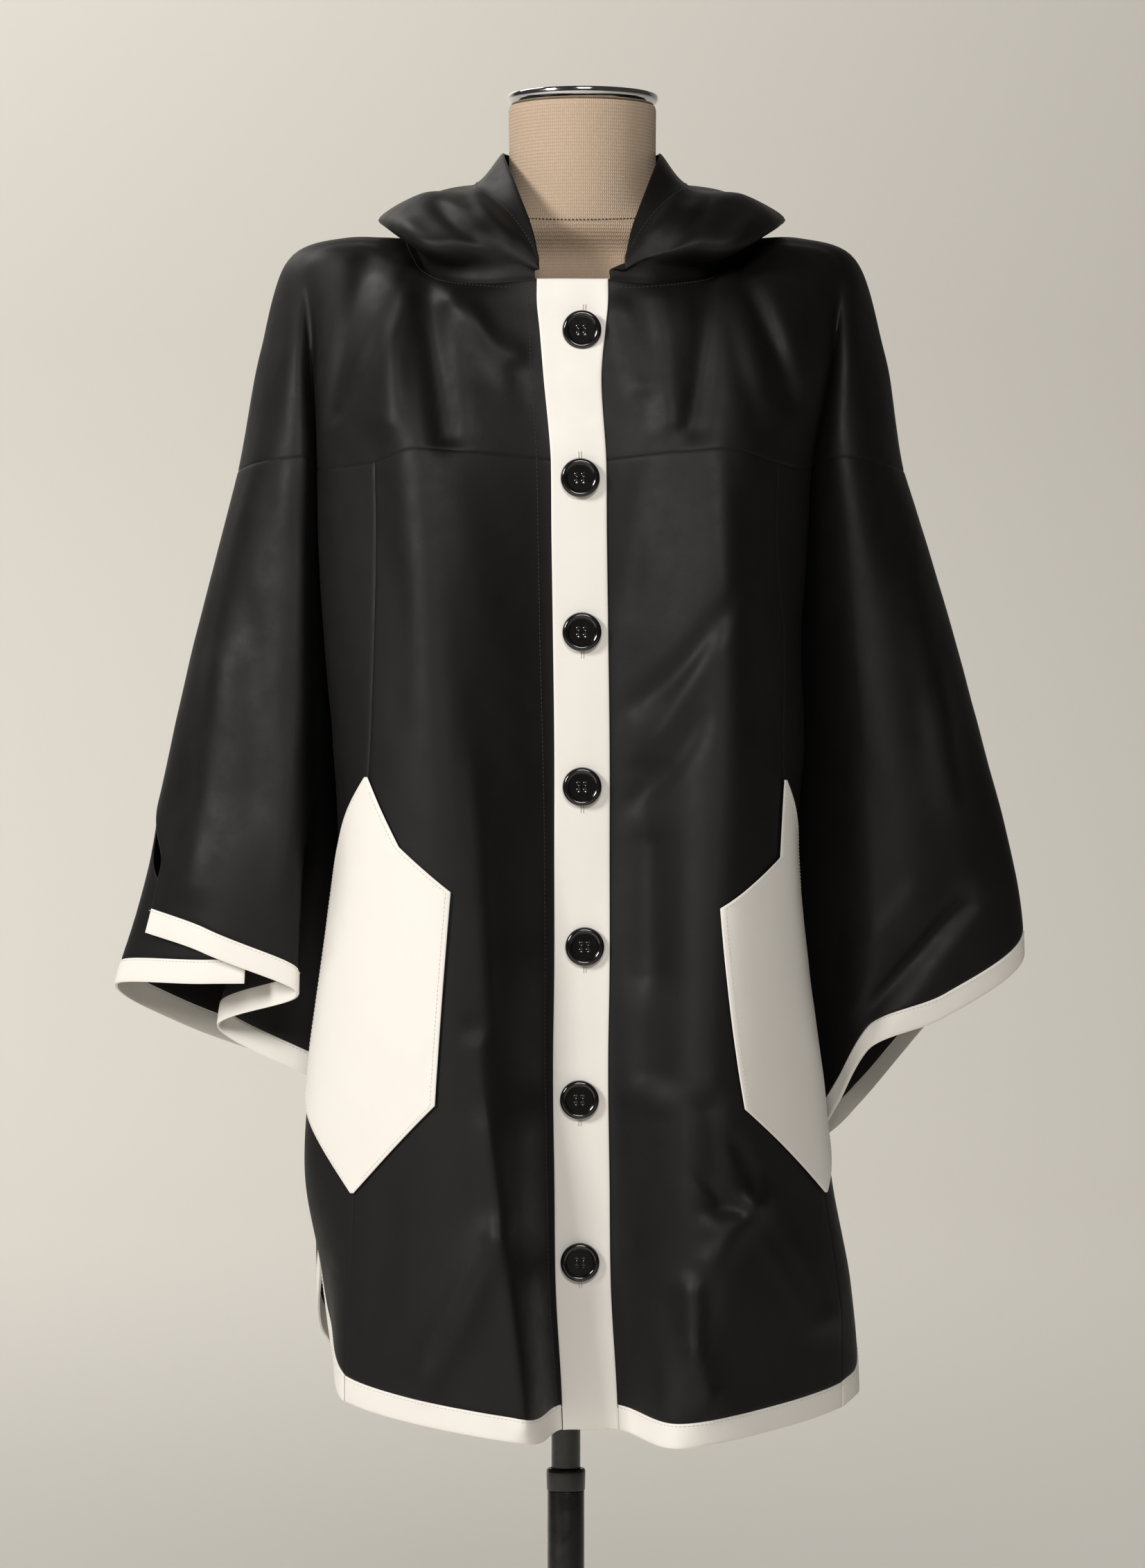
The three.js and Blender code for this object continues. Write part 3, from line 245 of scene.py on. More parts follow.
# The yoke's left half, column by column: chest, shoulder, slope and neck edge.
YOKE_COLUMNS = [
    [[4, -115, 1272], [1, -107, 1308], [-1, -102, 1328], [-1, -99, 1346]],
    [[-98, -121, 1280], [-85, -108, 1318], [-74, -98, 1335], [-58, -90, 1344]],
    [[-142, -104, 1292], [-129, -84, 1338], [-110, -73, 1348], [-88, -70, 1348]],
    [[-181, -66, 1300], [-168, -46, 1360], [-142, -40, 1368], [-103, -46, 1357]],
    [[-192, -42, 1302], [-190, -26, 1368], [-156, -23, 1378], [-109, -28, 1367]],
    [[-196, -46, 1302], [-194, -18, 1371], [-159, -14, 1381], [-112, -18, 1373]],
    [[-202, -46, 1302], [-200, -10, 1373], [-163, -6, 1384], [-114, -8, 1379]],
    [[-218, -28, 1302], [-205, -1, 1374], [-166, 3, 1386], [-116, 3, 1384]],
    [[-232, 4, 1301], [-208, 9, 1374], [-168, 12, 1387], [-117, 14, 1387]],
    [[-218, 34, 1302], [-205, 20, 1374], [-166, 21, 1386], [-114, 25, 1389]],
    [[-202, 50, 1302], [-198, 30, 1372], [-160, 31, 1385], [-107, 36, 1391]],
    [[-190, 46, 1303], [-188, 38, 1369], [-154, 40, 1383], [-100, 44, 1392]],
    [[-172, 74, 1302], [-150, 62, 1362], [-122, 57, 1379], [-86, 55, 1393]],
    [[-98, 106, 1300], [-88, 90, 1352], [-72, 78, 1375], [-52, 67, 1394]],
    [[-4, 108, 1300], [-4, 96, 1350], [-4, 84, 1374], [-4, 74, 1394]],
]
# Heights of the yoke seam, the hem and the cuffs, column by column.
YOKE_SEAM = [
    1210, 1210, 1218, 1209, 1206, 1211, 1213, 1216,
    1214, 1209, 1211, 1212, 1210, 1212, 1214, 1214,
]
HEM_FRONT = {Half.LEFT: [514, 514, 510, 534, 572, 640], Half.RIGHT: [514, 514, 505, 526, 548, 636]}
HEM_BACK = {Half.LEFT: [640, 566, 508, 500], Half.RIGHT: [636, 566, 508, 500]}
CUFF = {Half.LEFT: [762, 806, 834, 858, 879], Half.RIGHT: [716, 748, 793, 817, 862]}
CUFF_BACK = {Half.LEFT: [842, 841, 838, 805, 778, 762], Half.RIGHT: [830, 838, 862, 818, 742, 716]}
# How far the armhole has closed, by height above its end.
ARMHOLE = [[0, 1], [9, 0.78], [29, 0.66], [90, 0.3], [160, 0]]
# The coat's main folds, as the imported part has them: x0, z0, x1, z1, half width, height.
FOLDS = [
    [-106, 1360, -88, 1228, 11, -9],
    [-122, 1352, -132, 1240, 12, 6],
    [-84, 1330, -40, 1288, 9, 5],
    [-150, 1362, -172, 1250, 10, -6],
    [128, 1362, 164, 1262, 11, -7],
    [104, 1352, 92, 1236, 12, -6],
    [40, 1322, 56, 1268, 11, 5],
    [70, 1330, 78, 1240, 12, 5],
    [-64, 780, -29, 505, 9, 6],
    [-52, 640, -104, 535, 13, 7],
    [62, 980, 66, 760, 14, -8],
    [104, 735, 108, 662, 10, -10],
    [140, 664, 190, 575, 11, 6],
    [140, 664, 108, 622, 10, 6],
    [92, 600, 102, 520, 11, 7],
    [298, 882, 226, 800, 12, -8],
    [-262, 1060, -282, 900, 16, 5],
    [262, 1120, 292, 960, 16, 5],
]
# Pockets: height, then the half width towards the centre and towards the side seam.
POCKETS = {
    Half.LEFT: [[977, 1.5, 1.5], [926, 36, 41], [893, 78, 66], [737, 72, 64], [670, 1.5, 1.5]],
    Half.RIGHT: [[975, 1.5, 1.5], [918, 12, 41], [881, 74, 66], [734, 76, 64], [668, 1.5, 1.5]],
}
# Buttons: height, and the offset across from the placket's middle.
BUTTONS = [[1307, 3], [1197, 1], [1084, 1], [970, 0], [852, 2], [739, -1], [619, -2]]
HOOD_X = 12
# Hood, left half: the yoke column that it is sewn to, then lobe, crown, dip and face edge.
HOOD_STATIONS = [
    [1.05, [-20, -101, 1353], [-20, -100, 1356], [-20, -99, 1359], [-20, -98, 1362]],
    [1.4, [-36, -98, 1362], [-33, -95, 1371], [-29, -90, 1377], [-25, -86, 1384]],
    [2, [-66, -99, 1372], [-60, -86, 1391], [-45, -74, 1399], [-34, -68, 1410]],
    [3, [-106, -84, 1374], [-88, -62, 1404], [-60, -50, 1412], [-41, -44, 1430]],
    [4, [-130, -50, 1388], [-108, -34, 1414], [-68, -26, 1420], [-46, -20, 1444]],
    [6.6, [-140, -8, 1398], [-110, -4, 1419], [-68, -2, 1424], [-47, 0, 1450]],
    [9.4, [-140, 40, 1402], [-108, 36, 1422], [-68, 30, 1430], [-46, 24, 1452]],
    [12.6, [-116, 98, 1394], [-90, 82, 1430], [-52, 62, 1436], [-34, 52, 1452]],
    [13.8, [-60, 136, 1360], [-48, 108, 1428], [-26, 82, 1438], [-12, 66, 1450]],
    [15, [12, 150, 1340], [12, 120, 1424], [12, 92, 1436], [12, 71, 1448]],
]
# The form: height, middle x, middle y, half width, half depth to the front and to the back.
FORM_ROWS = [
    [690, 4, 0, 132, 78, 82],
    [700, 4, 0, 142, 86, 92],
    [760, 4, 0, 156, 92, 102],
    [830, 4, 0, 158, 92, 104],
    [910, 4, 0, 144, 86, 92],
    [1000, 5, 0, 122, 80, 78],
    [1080, 5, 0, 126, 92, 78],
    [1160, 5, 0, 138, 106, 84],
    [1215, 5, 0, 148, 110, 92],
    [1265, 5, 0, 160, 100, 96],
    [1310, 5, 2, 174, 84, 82],
    [1340, 5, 6, 181, 64, 58],
    [1356, 5, 9, 180, 46, 38],
    [1366, 6, 10, 162, 42, 34],
    [1376, 6, 11, 132, 46, 34],
    [1384, 7, 11, 106, 56, 38],
    [1392, 8, 10, 84, 60, 44],
    [1402, 10, 8, 68, 58, 50],
    [1416, 12, 6, 59, 56, 53],
    [1440, 12.5, 5, 56, 55, 55],
    [1486, 12.5, 5, 56, 55, 55],
]


def smooth_value(keys: Sequence[float], values: Sequence, at: Array) -> Array:
    """Interpolates rows of numbers with a smooth curve through each row.

    Args:
        keys: Rising or falling keys of the rows.
        values: One number, or one array of numbers, for each key.
        at: Where the curve is read.

    Returns:
        The value at each place, an array for each where the rows hold arrays.
    """
    keys = np.asarray(keys, float)
    values = np.asarray(values, float)
    at = np.asarray(at, float)
    if keys[-1] < keys[0]:
        keys, at = -keys, -at
    last = len(keys) - 1
    tail = (1,) * (values.ndim - 1)
    low = np.maximum(np.arange(last + 1) - 1, 0)
    high = np.minimum(np.arange(last + 1) + 1, last)
    slopes = (values[high] - values[low]) / (keys[high] - keys[low]).reshape(-1, *tail)
    i = np.clip(np.searchsorted(keys, at) - 1, 0, last - 1)
    span = keys[i + 1] - keys[i]
    t = np.clip((at - keys[i]) / span, 0, 1).reshape(-1, *tail)
    span = span.reshape(-1, *tail)
    t2, t3 = t * t, t * t * t
    here = (2 * t3 - 3 * t2 + 1) * values[i] + (t3 - 2 * t2 + t) * span * slopes[i]
    return here + (3 * t2 - 2 * t3) * values[i + 1] + (t3 - t2) * span * slopes[i + 1]


def column_value(values: Sequence[float], at: Array) -> Array:
    """A value between the numbered columns of a list."""
    return smooth_value(range(len(values)), values, at)


def smooth_step(at: Array, low: float, high: float) -> Array:
    """A smooth step from 0 at low to 1 at high."""
    t = np.clip((at - low) / (high - low), 0, 1)
    return t * t * (3 - 2 * t)


def spline(points: Array, at: Array) -> Array:
    """A centripetal Catmull-Rom curve, read by the number of the point.

    Args:
        points: Points of one curve, or of a curve for each place.
        at: Number of the point at each place.

    Returns:
        A point for each place.
    """
    if points.ndim == 2:
        points = np.broadcast_to(points, (len(at), *points.shape))
    last = points.shape[1] - 1
    at = np.clip(at, 0, last)
    i = np.minimum(at.astype(int), last - 1)
    w = (at - i)[:, None]
    rows = np.arange(len(at))
    p1, p2 = points[rows, i], points[rows, i + 1]
    p0 = np.where((i > 0)[:, None], points[rows, np.maximum(i - 1, 0)], 2 * p1 - p2)
    p3 = np.where((i + 2 <= last)[:, None], points[rows, np.minimum(i + 2, last)], 2 * p2 - p1)
    pairs = ((p0, p1), (p1, p2), (p2, p3))
    d0, d1, d2 = (np.sqrt(np.linalg.norm(b - a, axis=1))[:, None] for a, b in pairs)
    d1 = np.where(d1 < SHORT_SPAN, 1.0, d1)
    d0 = np.where(d0 < SHORT_SPAN, d1, d0)
    d2 = np.where(d2 < SHORT_SPAN, d1, d2)
    t1 = ((p1 - p0) / d0 - (p2 - p0) / (d0 + d1) + (p2 - p1) / d1) * d1
    t2 = ((p2 - p1) / d1 - (p3 - p1) / (d1 + d2) + (p3 - p2) / d2) * d1
    return p1 + t1 * w + (3 * (p2 - p1) - 2 * t1 - t2) * w**2 + (2 * (p1 - p2) + t1 + t2) * w**3


def plan_row(table: list, z: Array, mirror: int = 1) -> Array:
    """Plan points of one table at each height, with x times mirror."""
    heights = [row[0] for row in table]
    plan = np.array([row[1:] for row in table], float) * [mirror, 1]
    flat = smooth_value(heights, plan, z)
    level = np.broadcast_to(z[:, None, None], (*flat.shape[:2], 1))
    return np.concatenate([flat, level], axis=2)


def run_along(line: Array) -> Array:
    """Length of a line up to each of its points."""
    return np.concatenate([[0], np.cumsum(np.linalg.norm(np.diff(line, axis=0), axis=1))])


def unit(rows: Array) -> Array:
    """The same directions, with a length of one."""
    return rows / np.maximum(np.linalg.norm(rows, axis=-1, keepdims=True), TINY)


def mix(a: Array, b: Array, t: Array) -> Array:
    """A point, or number, between a and b."""
    t = t[:, None] if a.ndim == 2 else t
    return a + (b - a) * t


class CoatPlan:
    """The coat's cloth as surfaces, each read by column and row."""

    def __init__(self) -> None:
        """Reads the folds into one array."""
        self.folds = np.array(FOLDS, float)

    @staticmethod
    def stand_point(half: Half, centre: Array) -> Array:
        """Where the placket's edge lies beside the centre front."""
        return centre + [half.sign * PLACKET_WIDTH / 2, PLACKET_CROWN, 0]

    def ring(self, half: Half, z: Array, at: Array) -> Array:
        """Points of the body's cloth.

        Args:
            half: The half of the coat.
            z: Height of each point.
            at: 0 at the centre front to 5 at the valley, then 6 at the back valley to 9 at the
                centre back.

        Returns:
            A point for each height and number.
        """
        own = plan_row(FRONT[half], z)
        back = plan_row(BACK, z, half.sign)
        across = back[:, 2] * [-1, 1, 1]
        centre = own[:, 0]
        stand = self.stand_point(half, centre)
        before = self.stand_point(half.other, centre)
        head = np.stack([before, centre, stand], axis=1)
        points = np.concatenate([head, own[:, 1:], back, across[:, None]], axis=1)
        flat = mix(centre, stand, np.clip(at, -1, 1))
        return np.where((at < STAND)[:, None], flat, spline(points, at + 1))

    @staticmethod
    def armhole_closed(half: Half, z: Array) -> Array:
        """How far the armhole has closed at each height."""
        above = z - (CUFF[half][0] - BAND_WIDTH - ARMHOLE_CLOSE)
        return np.interp(above, [row[0] for row in ARMHOLE], [row[1] for row in ARMHOLE])

    def sleeve_ring(self, half: Half, z: Array, at: Array) -> Array:
        """Points of a closed sleeve at each height, columns 5 to 12."""
        closed = self.armhole_closed(half, z) / 2
        ends = [self.ring(half, z, VALLEY + closed), self.ring(half, z, VALLEY + 1 - closed)]
        row = plan_row(SLEEVE[half], z)
        points = np.concatenate([ends[0][:, None], row, ends[1][:, None]], axis=1)
        return spline(points, at - VALLEY)

    def sleeve_at(self, half: Half, z: Array, at: Array, ply: Ply) -> Array:
        """Points of a sleeve's sheet at each height, parted where the vent is open."""
        point = self.sleeve_ring(half, z, at)
        if half is Half.RIGHT:
            return point
        opened = self.vent_open(z) * VENT_GAP / 2
        step = 0.02
        along = unit(self.sleeve_ring(half, z, at + step) - self.sleeve_ring(half, z, at - step))
        outward = np.stack([along[:, 1], -along[:, 0], np.zeros(len(z))], axis=1) * half.sign
        near_tip = smooth_step(at, FOLD, BULGE)
        before_tip = 1 - smooth_step(at, TIP, TIP + 0.6)
        share = near_tip if ply is Ply.FRONT else -before_tip
        return point + outward * (opened * share)[:, None]

    @staticmethod
    def cuff_height(half: Half, at: Array, ply: Ply) -> Array:
        """Height of the panel edge on a sleeve's sheet."""
        if ply is Ply.FRONT:
            return column_value(CUFF[half], at - VALLEY)
        return column_value(CUFF_BACK[half], at - FOLD)

    @staticmethod
    def hem_height(half: Half, ring_at: Array) -> Array:
        """Height of the body's panel edge at a ring number."""
        front, back = HEM_FRONT[half], HEM_BACK[half]
        t = np.where(ring_at <= EDGE, ring_at, EDGE + (ring_at - EDGE) / 1.5)
        ahead = column_value([*front, back[1]], np.maximum(t, 0))
        t = np.where(ring_at >= VALLEY + 2, ring_at - VALLEY - 1, (ring_at - VALLEY - 0.5) / 1.5)
        behind = column_value([front[4], *back], np.minimum(BACK_CENTRE - BACK_VALLEY, t) + 1)
        return np.where(ring_at <= VALLEY + 0.5, ahead, behind)

    def body_height(self, half: Half, ring_at: Array, k: Array) -> Array:
        """Height of the body's row k at a ring number."""
        front = ring_at <= VALLEY + 0.5
        yoke_at = np.where(front, np.minimum(ring_at, VALLEY), np.maximum(ring_at, VALLEY + 1) + 6)
        top = column_value(YOKE_SEAM, yoke_at)
        outward = np.where(front, ring_at / VALLEY, (VALLEY + 4 - ring_at) / 3)
        shared = (CUFF[Half.LEFT][0] + CUFF[Half.RIGHT][0]) / 2
        underarm = shared + (CUFF[half][0] - shared) * smooth_step(outward, 0, 0.9)
        foot = underarm - BAND_WIDTH
        shut = foot - ARMHOLE_CLOSE
        edge = self.hem_height(half, ring_at)
        step = 0.05
        ends = [self.ring(half, edge, ring_at + d) for d in (step, -step)]
        width = np.maximum(1, np.linalg.norm(ends[0] - ends[1], axis=1))
        climb = self.hem_height(half, ring_at + step) - self.hem_height(half, ring_at - step)
        band = edge - (k - BODY_ROWS) * BAND_WIDTH * np.minimum(1.5, np.hypot(1, climb / width))
        return np.select(
            [k <= ARM_ROWS, k <= ARM_ROWS + 1, k <= ARM_ROWS + 2, k <= BODY_ROWS],
            [
                top + (underarm - top) * k / ARM_ROWS,
                underarm + (foot - underarm) * (k - ARM_ROWS),
                foot + (shut - foot) * (k - ARM_ROWS - 1),
                shut + (edge - shut) * (k - ARM_ROWS - 2) / SKIRT_ROWS,
            ],
            band,
        )

    def with_folds(self, point: Array) -> Array:
        """Moves points of the front by the main folds."""
        relief = np.zeros(len(point))
        for x0, z0, x1, z1, width, height in self.folds:
            dx, dz = x1 - x0, z1 - z0
            along = ((point[:, 0] - x0) * dx + (point[:, 2] - z0) * dz) / (dx * dx + dz * dz)
            t = np.clip(along, 0, 1)
            far = np.hypot(point[:, 0] - x0 - t * dx, point[:, 2] - z0 - t * dz) / width
            relief += height * np.exp(-far * far)
        moved = point.copy()
        moved[:, 1] -= relief * smooth_step(-point[:, 1], *FOLD_FADE)
        return moved

    def body(self, half: Half, ring_at: Array, k: Array) -> Array:
        """Points of the body's cloth at ring number and row."""
        return self.with_folds(self.ring(half, self.body_height(half, ring_at, k), ring_at))

    def sleeve(self, half: Half, at: Array, k: Array, ply: Ply) -> Array:
        """Points of a sleeve's sheet at column and row; rows past the last are the cuff's band."""
        top = column_value(YOKE_SEAM, at)
        edge = self.cuff_height(half, at, ply)
        band = edge - (k - ARM_ROWS) * BAND_WIDTH
        z = np.where(k > ARM_ROWS, band, top + (edge - top) * k / ARM_ROWS)
        if half is Half.LEFT and ply is Ply.FRONT:
            at = at - VENT_SHORT * self.vent_open(z) * smooth_step(at, FOLD, TIP)
        return self.with_folds(self.sleeve_at(half, z, at, ply))

    @staticmethod
    def vent_open(z: Array) -> Array:
        """How far the left sleeve's vent has opened at each height, from 0 to 1."""
        return smooth_step(VENT_TOP + VENT_BLEND - z, 0, 2 * VENT_BLEND)

    def yoke_foot(self, half: Half, at: Array, drop: float) -> Array:
        """Points of the yoke's lower edge, on the panels below it."""
        z = column_value(YOKE_SEAM, at) - drop
        ring_at = np.where(at <= VALLEY, at, np.maximum(at - 6, VALLEY + 1))
        on_body = (at <= VALLEY) | (at >= BACK_VALLEY)
        body, sleeve = self.ring(half, z, ring_at), self.sleeve_at(half, z, at, Ply.FRONT)
        return np.where(on_body[:, None], body, sleeve)

    def yoke_level(self, half: Half, level: int, at: Array) -> Array:
        """Points of one level of the yoke."""
        points = np.array([column[level] for column in YOKE_COLUMNS], float)
        if half is Half.RIGHT:
            points[:, 0] = 2 * YOKE_X - points[:, 0]
        centre = points[0]
        stand = self.stand_point(half, centre)
        before = self.stand_point(half.other, centre)
        after = points[-2] * [-1, 1, 1] + [2 * points[-1, 0], 0, 0]
        curve = np.vstack([before, centre, stand, points[1:], after])
        flat = centre + (stand - centre) * at[:, None]
        return np.where((at < STAND)[:, None], flat, spline(curve, at + 1))

    def yoke(self, half: Half, at: Array, k: Array) -> Array:
        """Points of the yoke, where row 0 is the yoke seam and -YOKE_ROWS the neck edge."""
        levels = [self.yoke_level(half, level, at) for level in range(4)]
        feet = [self.yoke_foot(half, at, drop) for drop in (60, 0)]
        path = np.stack([*feet, *levels], axis=1)
        return self.with_folds(spline(path, -k / YOKE_ROWS * 4 + 1))

    def side_at(self, half: Half, k: Array) -> Array:
        """Ring number of the front's side edge, at the armhole or the side seam."""
        rows = np.minimum(k, BODY_ROWS)
        z = self.body_height(half, np.full(len(k), float(VALLEY)), rows)
        return VALLEY + self.armhole_closed(half, z) / 2

    def side_surface(self, half: Half) -> Surface:
        """Front side panel, from the princess seam to the armhole and side seam."""
        return lambda u, k: self.body(half, PRINCESS + u * (self.side_at(half, k) - PRINCESS), k)

    def back(self, u: Array, k: Array) -> Array:
        """Back panel: u is 0 at the left side seam, 1 at the centre and 2 at the right seam."""
        last = VALLEY + 4
        ends = []
        for half, part in ((Half.LEFT, u), (Half.RIGHT, 2 - u)):
            start = 2 * VALLEY + 1 - self.side_at(half, k)
            ends.append(self.body(half, start + np.clip(part, -0.1, 1) * (last - start), k))
        return np.where((u < 1)[:, None], ends[0], ends[1])

    def yoke_back(self, u: Array, k: Array) -> Array:
        """Back of the yoke, from the tip of one shoulder to the other."""
        left = self.yoke(Half.LEFT, np.minimum(u, BACK_CENTRE), k)
        right = self.yoke(Half.RIGHT, np.minimum(2 * BACK_CENTRE - u, BACK_CENTRE), k)
        return np.where((u < BACK_CENTRE)[:, None], left, right)

    def back_sleeve(self, half: Half) -> Surface:
        """Back sheet of a sleeve: u from 0 at the tip, or the vent flap's edge, to 1."""

        def surface(u: Array, k: Array) -> Array:
            tip = np.full(len(u), float(TIP))
            z = self.sleeve(half, tip, np.minimum(k, ARM_ROWS), Ply.BACK)[:, 2]
            opened = smooth_step(VENT_TOP - z, 0, VENT_TOP - CUFF_BACK[Half.LEFT][4])
            start = TIP - (FLAP_REACH * opened if half is Half.LEFT else 0 * z)
            return self.sleeve(half, start + u * (BACK_VALLEY - start), k, Ply.BACK)

        return surface

    def placket(self, at: Array, k: Array) -> Array:
        """Points of the coat between the placket's edges, from the neck edge to below the hem."""
        column = np.minimum(STAND, np.abs(at))
        ends = []
        for half in Half:
            lower = self.body(half, column, np.maximum(k, 0))
            upper = self.yoke(half, column, np.minimum(k, 0))
            ends.append(np.where((k < 0)[:, None], upper, lower))
        return np.where((at < 0)[:, None], ends[0], ends[1])

    def pocket(self, half: Half) -> Surface:
        """A pocket over the princess seam: u across from the centre, v minus the height."""
        corners = POCKETS[half]
        heights = [-row[0] for row in corners]
        dense = np.linspace(PRINCESS - 2, PRINCESS + 2, 401)

        def surface(u: Array, v: Array) -> Array:
            at = np.empty(len(u))
            for level in np.unique(v):
                here = v == level
                ring = self.ring(half, np.full(len(dense), -level), dense)
                run = run_along(ring)
                run -= np.interp(PRINCESS, dense, run)
                inner = -np.interp(level, heights, [row[1] for row in corners])
                outer = np.interp(level, heights, [row[2] for row in corners])
                at[here] = np.interp(inner + (outer - inner) * u[here], run, dense)
            return self.with_folds(self.ring(half, -v, at))

        return surface

    def hood(self, half: Half) -> Surface:
        """A half of the hood: u by station, v from the seam over lobe, crown and dip to face."""
        columns = np.array([row[0] for row in HOOD_STATIONS], float)
        neck = self.yoke(half, columns, np.full(len(columns), -float(YOKE_ROWS)))
        seam = neck + [0, 0, HOOD_SEAT]
        rest = np.array([row[1:] for row in HOOD_STATIONS], float)
        rest[:, :, 0] = HOOD_X + half.sign * (HOOD_X - rest[:, :, 0])
        climb = rest[:, 0, 2] - seam[:, 2]
        rise = np.where(climb > 0, np.minimum(HOOD_STAND, 0.6 * climb + 2), HOOD_STAND)
        stand = seam + np.stack([0 * rise, 0 * rise, rise], axis=1)
        seam[-1, 0] = stand[-1, 0] = HOOD_X
        lines = [seam, stand, *rest.transpose(1, 0, 2)]
        return lambda u, v: spline(np.stack([spline(line, u) for line in lines], axis=1), v)


# Soft creases of the cloth: x0, z0, bend, x1, z1, half width, height. The bend pushes the middle
# sideways. They fade in and out along their length, and they are millimetres.
FRONT_CREASES = [
    [-115, 1369, 5, -167, 1247, 7, -2.0],
    [-74, 1338, -5, -36, 1262, 8, 1.6],
    [-62, 1318, 5, -30, 1246, 7, -1.5],
    [-140, 1330, 4, -118, 1220, 8, 1.4],
    [-208, 1330, 6, -214, 1150, 12, 2.0],
    [-228, 1240, -8, -262, 1010, 14, 2.4],
    [-240, 1120, 6, -236, 930, 12, -2.2],
    [-286, 1000, 6, -304, 900, 10, -1.8],
    [-206, 1010, 4, -216, 880, 9, 2.0],
    [-88, 1206, 6, -20, 912, 16, 1.6],
    [-128, 1160, 4, -124, 1000, 12, -1.4],
    [-56, 634, 0, -100, 542, 4, -3.2],
    [-128, 680, 5, -148, 566, 12, -1.8],
    [-70, 1000, 3, -58, 760, 7, 2.4],
    [-67, 806, 0, -58, 722, 9, -3.6],
    [118, 1346, -6, 150, 1226, 9, -2.0],
    [86, 1336, 6, 84, 1232, 8, 1.6],
    [42, 1320, -3, 62, 1262, 6, -1.8],
    [109, 1358, 4, 93, 1242, 6, -2.2],
    [124, 1366, 4, 174, 1242, 6, -2.2],
    [210, 1340, -8, 226, 1120, 13, 2.2],
    [236, 1210, 6, 268, 980, 13, -2.4],
    [282, 1060, -6, 306, 900, 11, 2.2],
    [222, 1000, 5, 246, 840, 11, -2.2],
    [126, 1112, 6, 45, 1024, 9, -4.2],
    [102, 1030, 6, 45, 953, 9, -3.8],
    [112, 1090, 6, 52, 990, 7, 2.0],
    [110, 1215, 5, 122, 890, 13, 2.4],
    [60, 1210, -4, 46, 1090, 10, -1.6],
    [40, 900, -4, 52, 700, 12, 1.8],
    [140, 1180, -6, 142, 1000, 10, -1.6],
    [62, 1000, 0, 64, 930, 13, 3.6],
    [65, 830, 0, 66, 726, 14, 4.6],
    [103, 752, 0, 109, 640, 10, 5.6],
    [120, 716, 3, 142, 664, 5, -3.0],
    [92, 690, -3, 140, 655, 5, -3.2],
    [140, 658, 4, 190, 569, 7, -3.2],
    [106, 664, 0, 138, 658, 7, -2.6],
    [106, 616, 3, 94, 516, 6, -2.8],
    [93, 567, 2, 101, 526, 5, 2.4],
    [109, 530, 2, 101, 524, 5, 2.0],
    [164, 640, 5, 206, 556, 9, 1.8],
    [298, 884, 0, 226, 802, 5, -3.4],
    [262, 900, 6, 214, 846, 9, 1.8],
    [-100, 1412, -6, -44, 1362, 6, -3.4],
    [-124, 1396, -6, -70, 1358, 6, 2.8],
    [-72, 1424, -4, -38, 1372, 6, 2.6],
    [108, 1414, 6, 70, 1364, 6, -3.2],
    [140, 1398, 6, 96, 1358, 6, 2.8],
    [88, 1426, 4, 58, 1374, 6, 2.8],
]
BACK_CREASES = [
    [-150, 1350, 8, -120, 1230, 12, -2.4],
    [-60, 1360, -6, -90, 1240, 12, 2.2],
    [40, 1370, 6, 76, 1240, 12, -2.2],
    [140, 1350, -8, 124, 1236, 12, 2.4],
    [-130, 1190, 8, -112, 840, 16, 2.8],
    [-60, 1200, -8, -48, 760, 18, -3.0],
    [10, 1190, 8, -4, 800, 16, 2.8],
    [72, 1180, -8, 60, 740, 17, -3.0],
    [132, 1190, 6, 140, 820, 15, 2.6],
    [-116, 800, -8, -134, 560, 15, -3.0],
    [-24, 780, 8, -36, 540, 16, 2.8],
    [36, 820, -6, 28, 540, 15, -2.8],
    [104, 780, 8, 122, 560, 15, 2.8],
    [-226, 1200, 6, -252, 960, 14, 2.6],
    [-250, 1090, -6, -282, 880, 12, -2.4],
    [228, 1200, -6, 262, 950, 14, 2.6],
    [262, 1080, 6, 296, 880, 12, -2.4],
    [-214, 960, 5, -232, 830, 10, 2.0],
    [222, 940, -5, 240, 800, 10, 2.0],
]


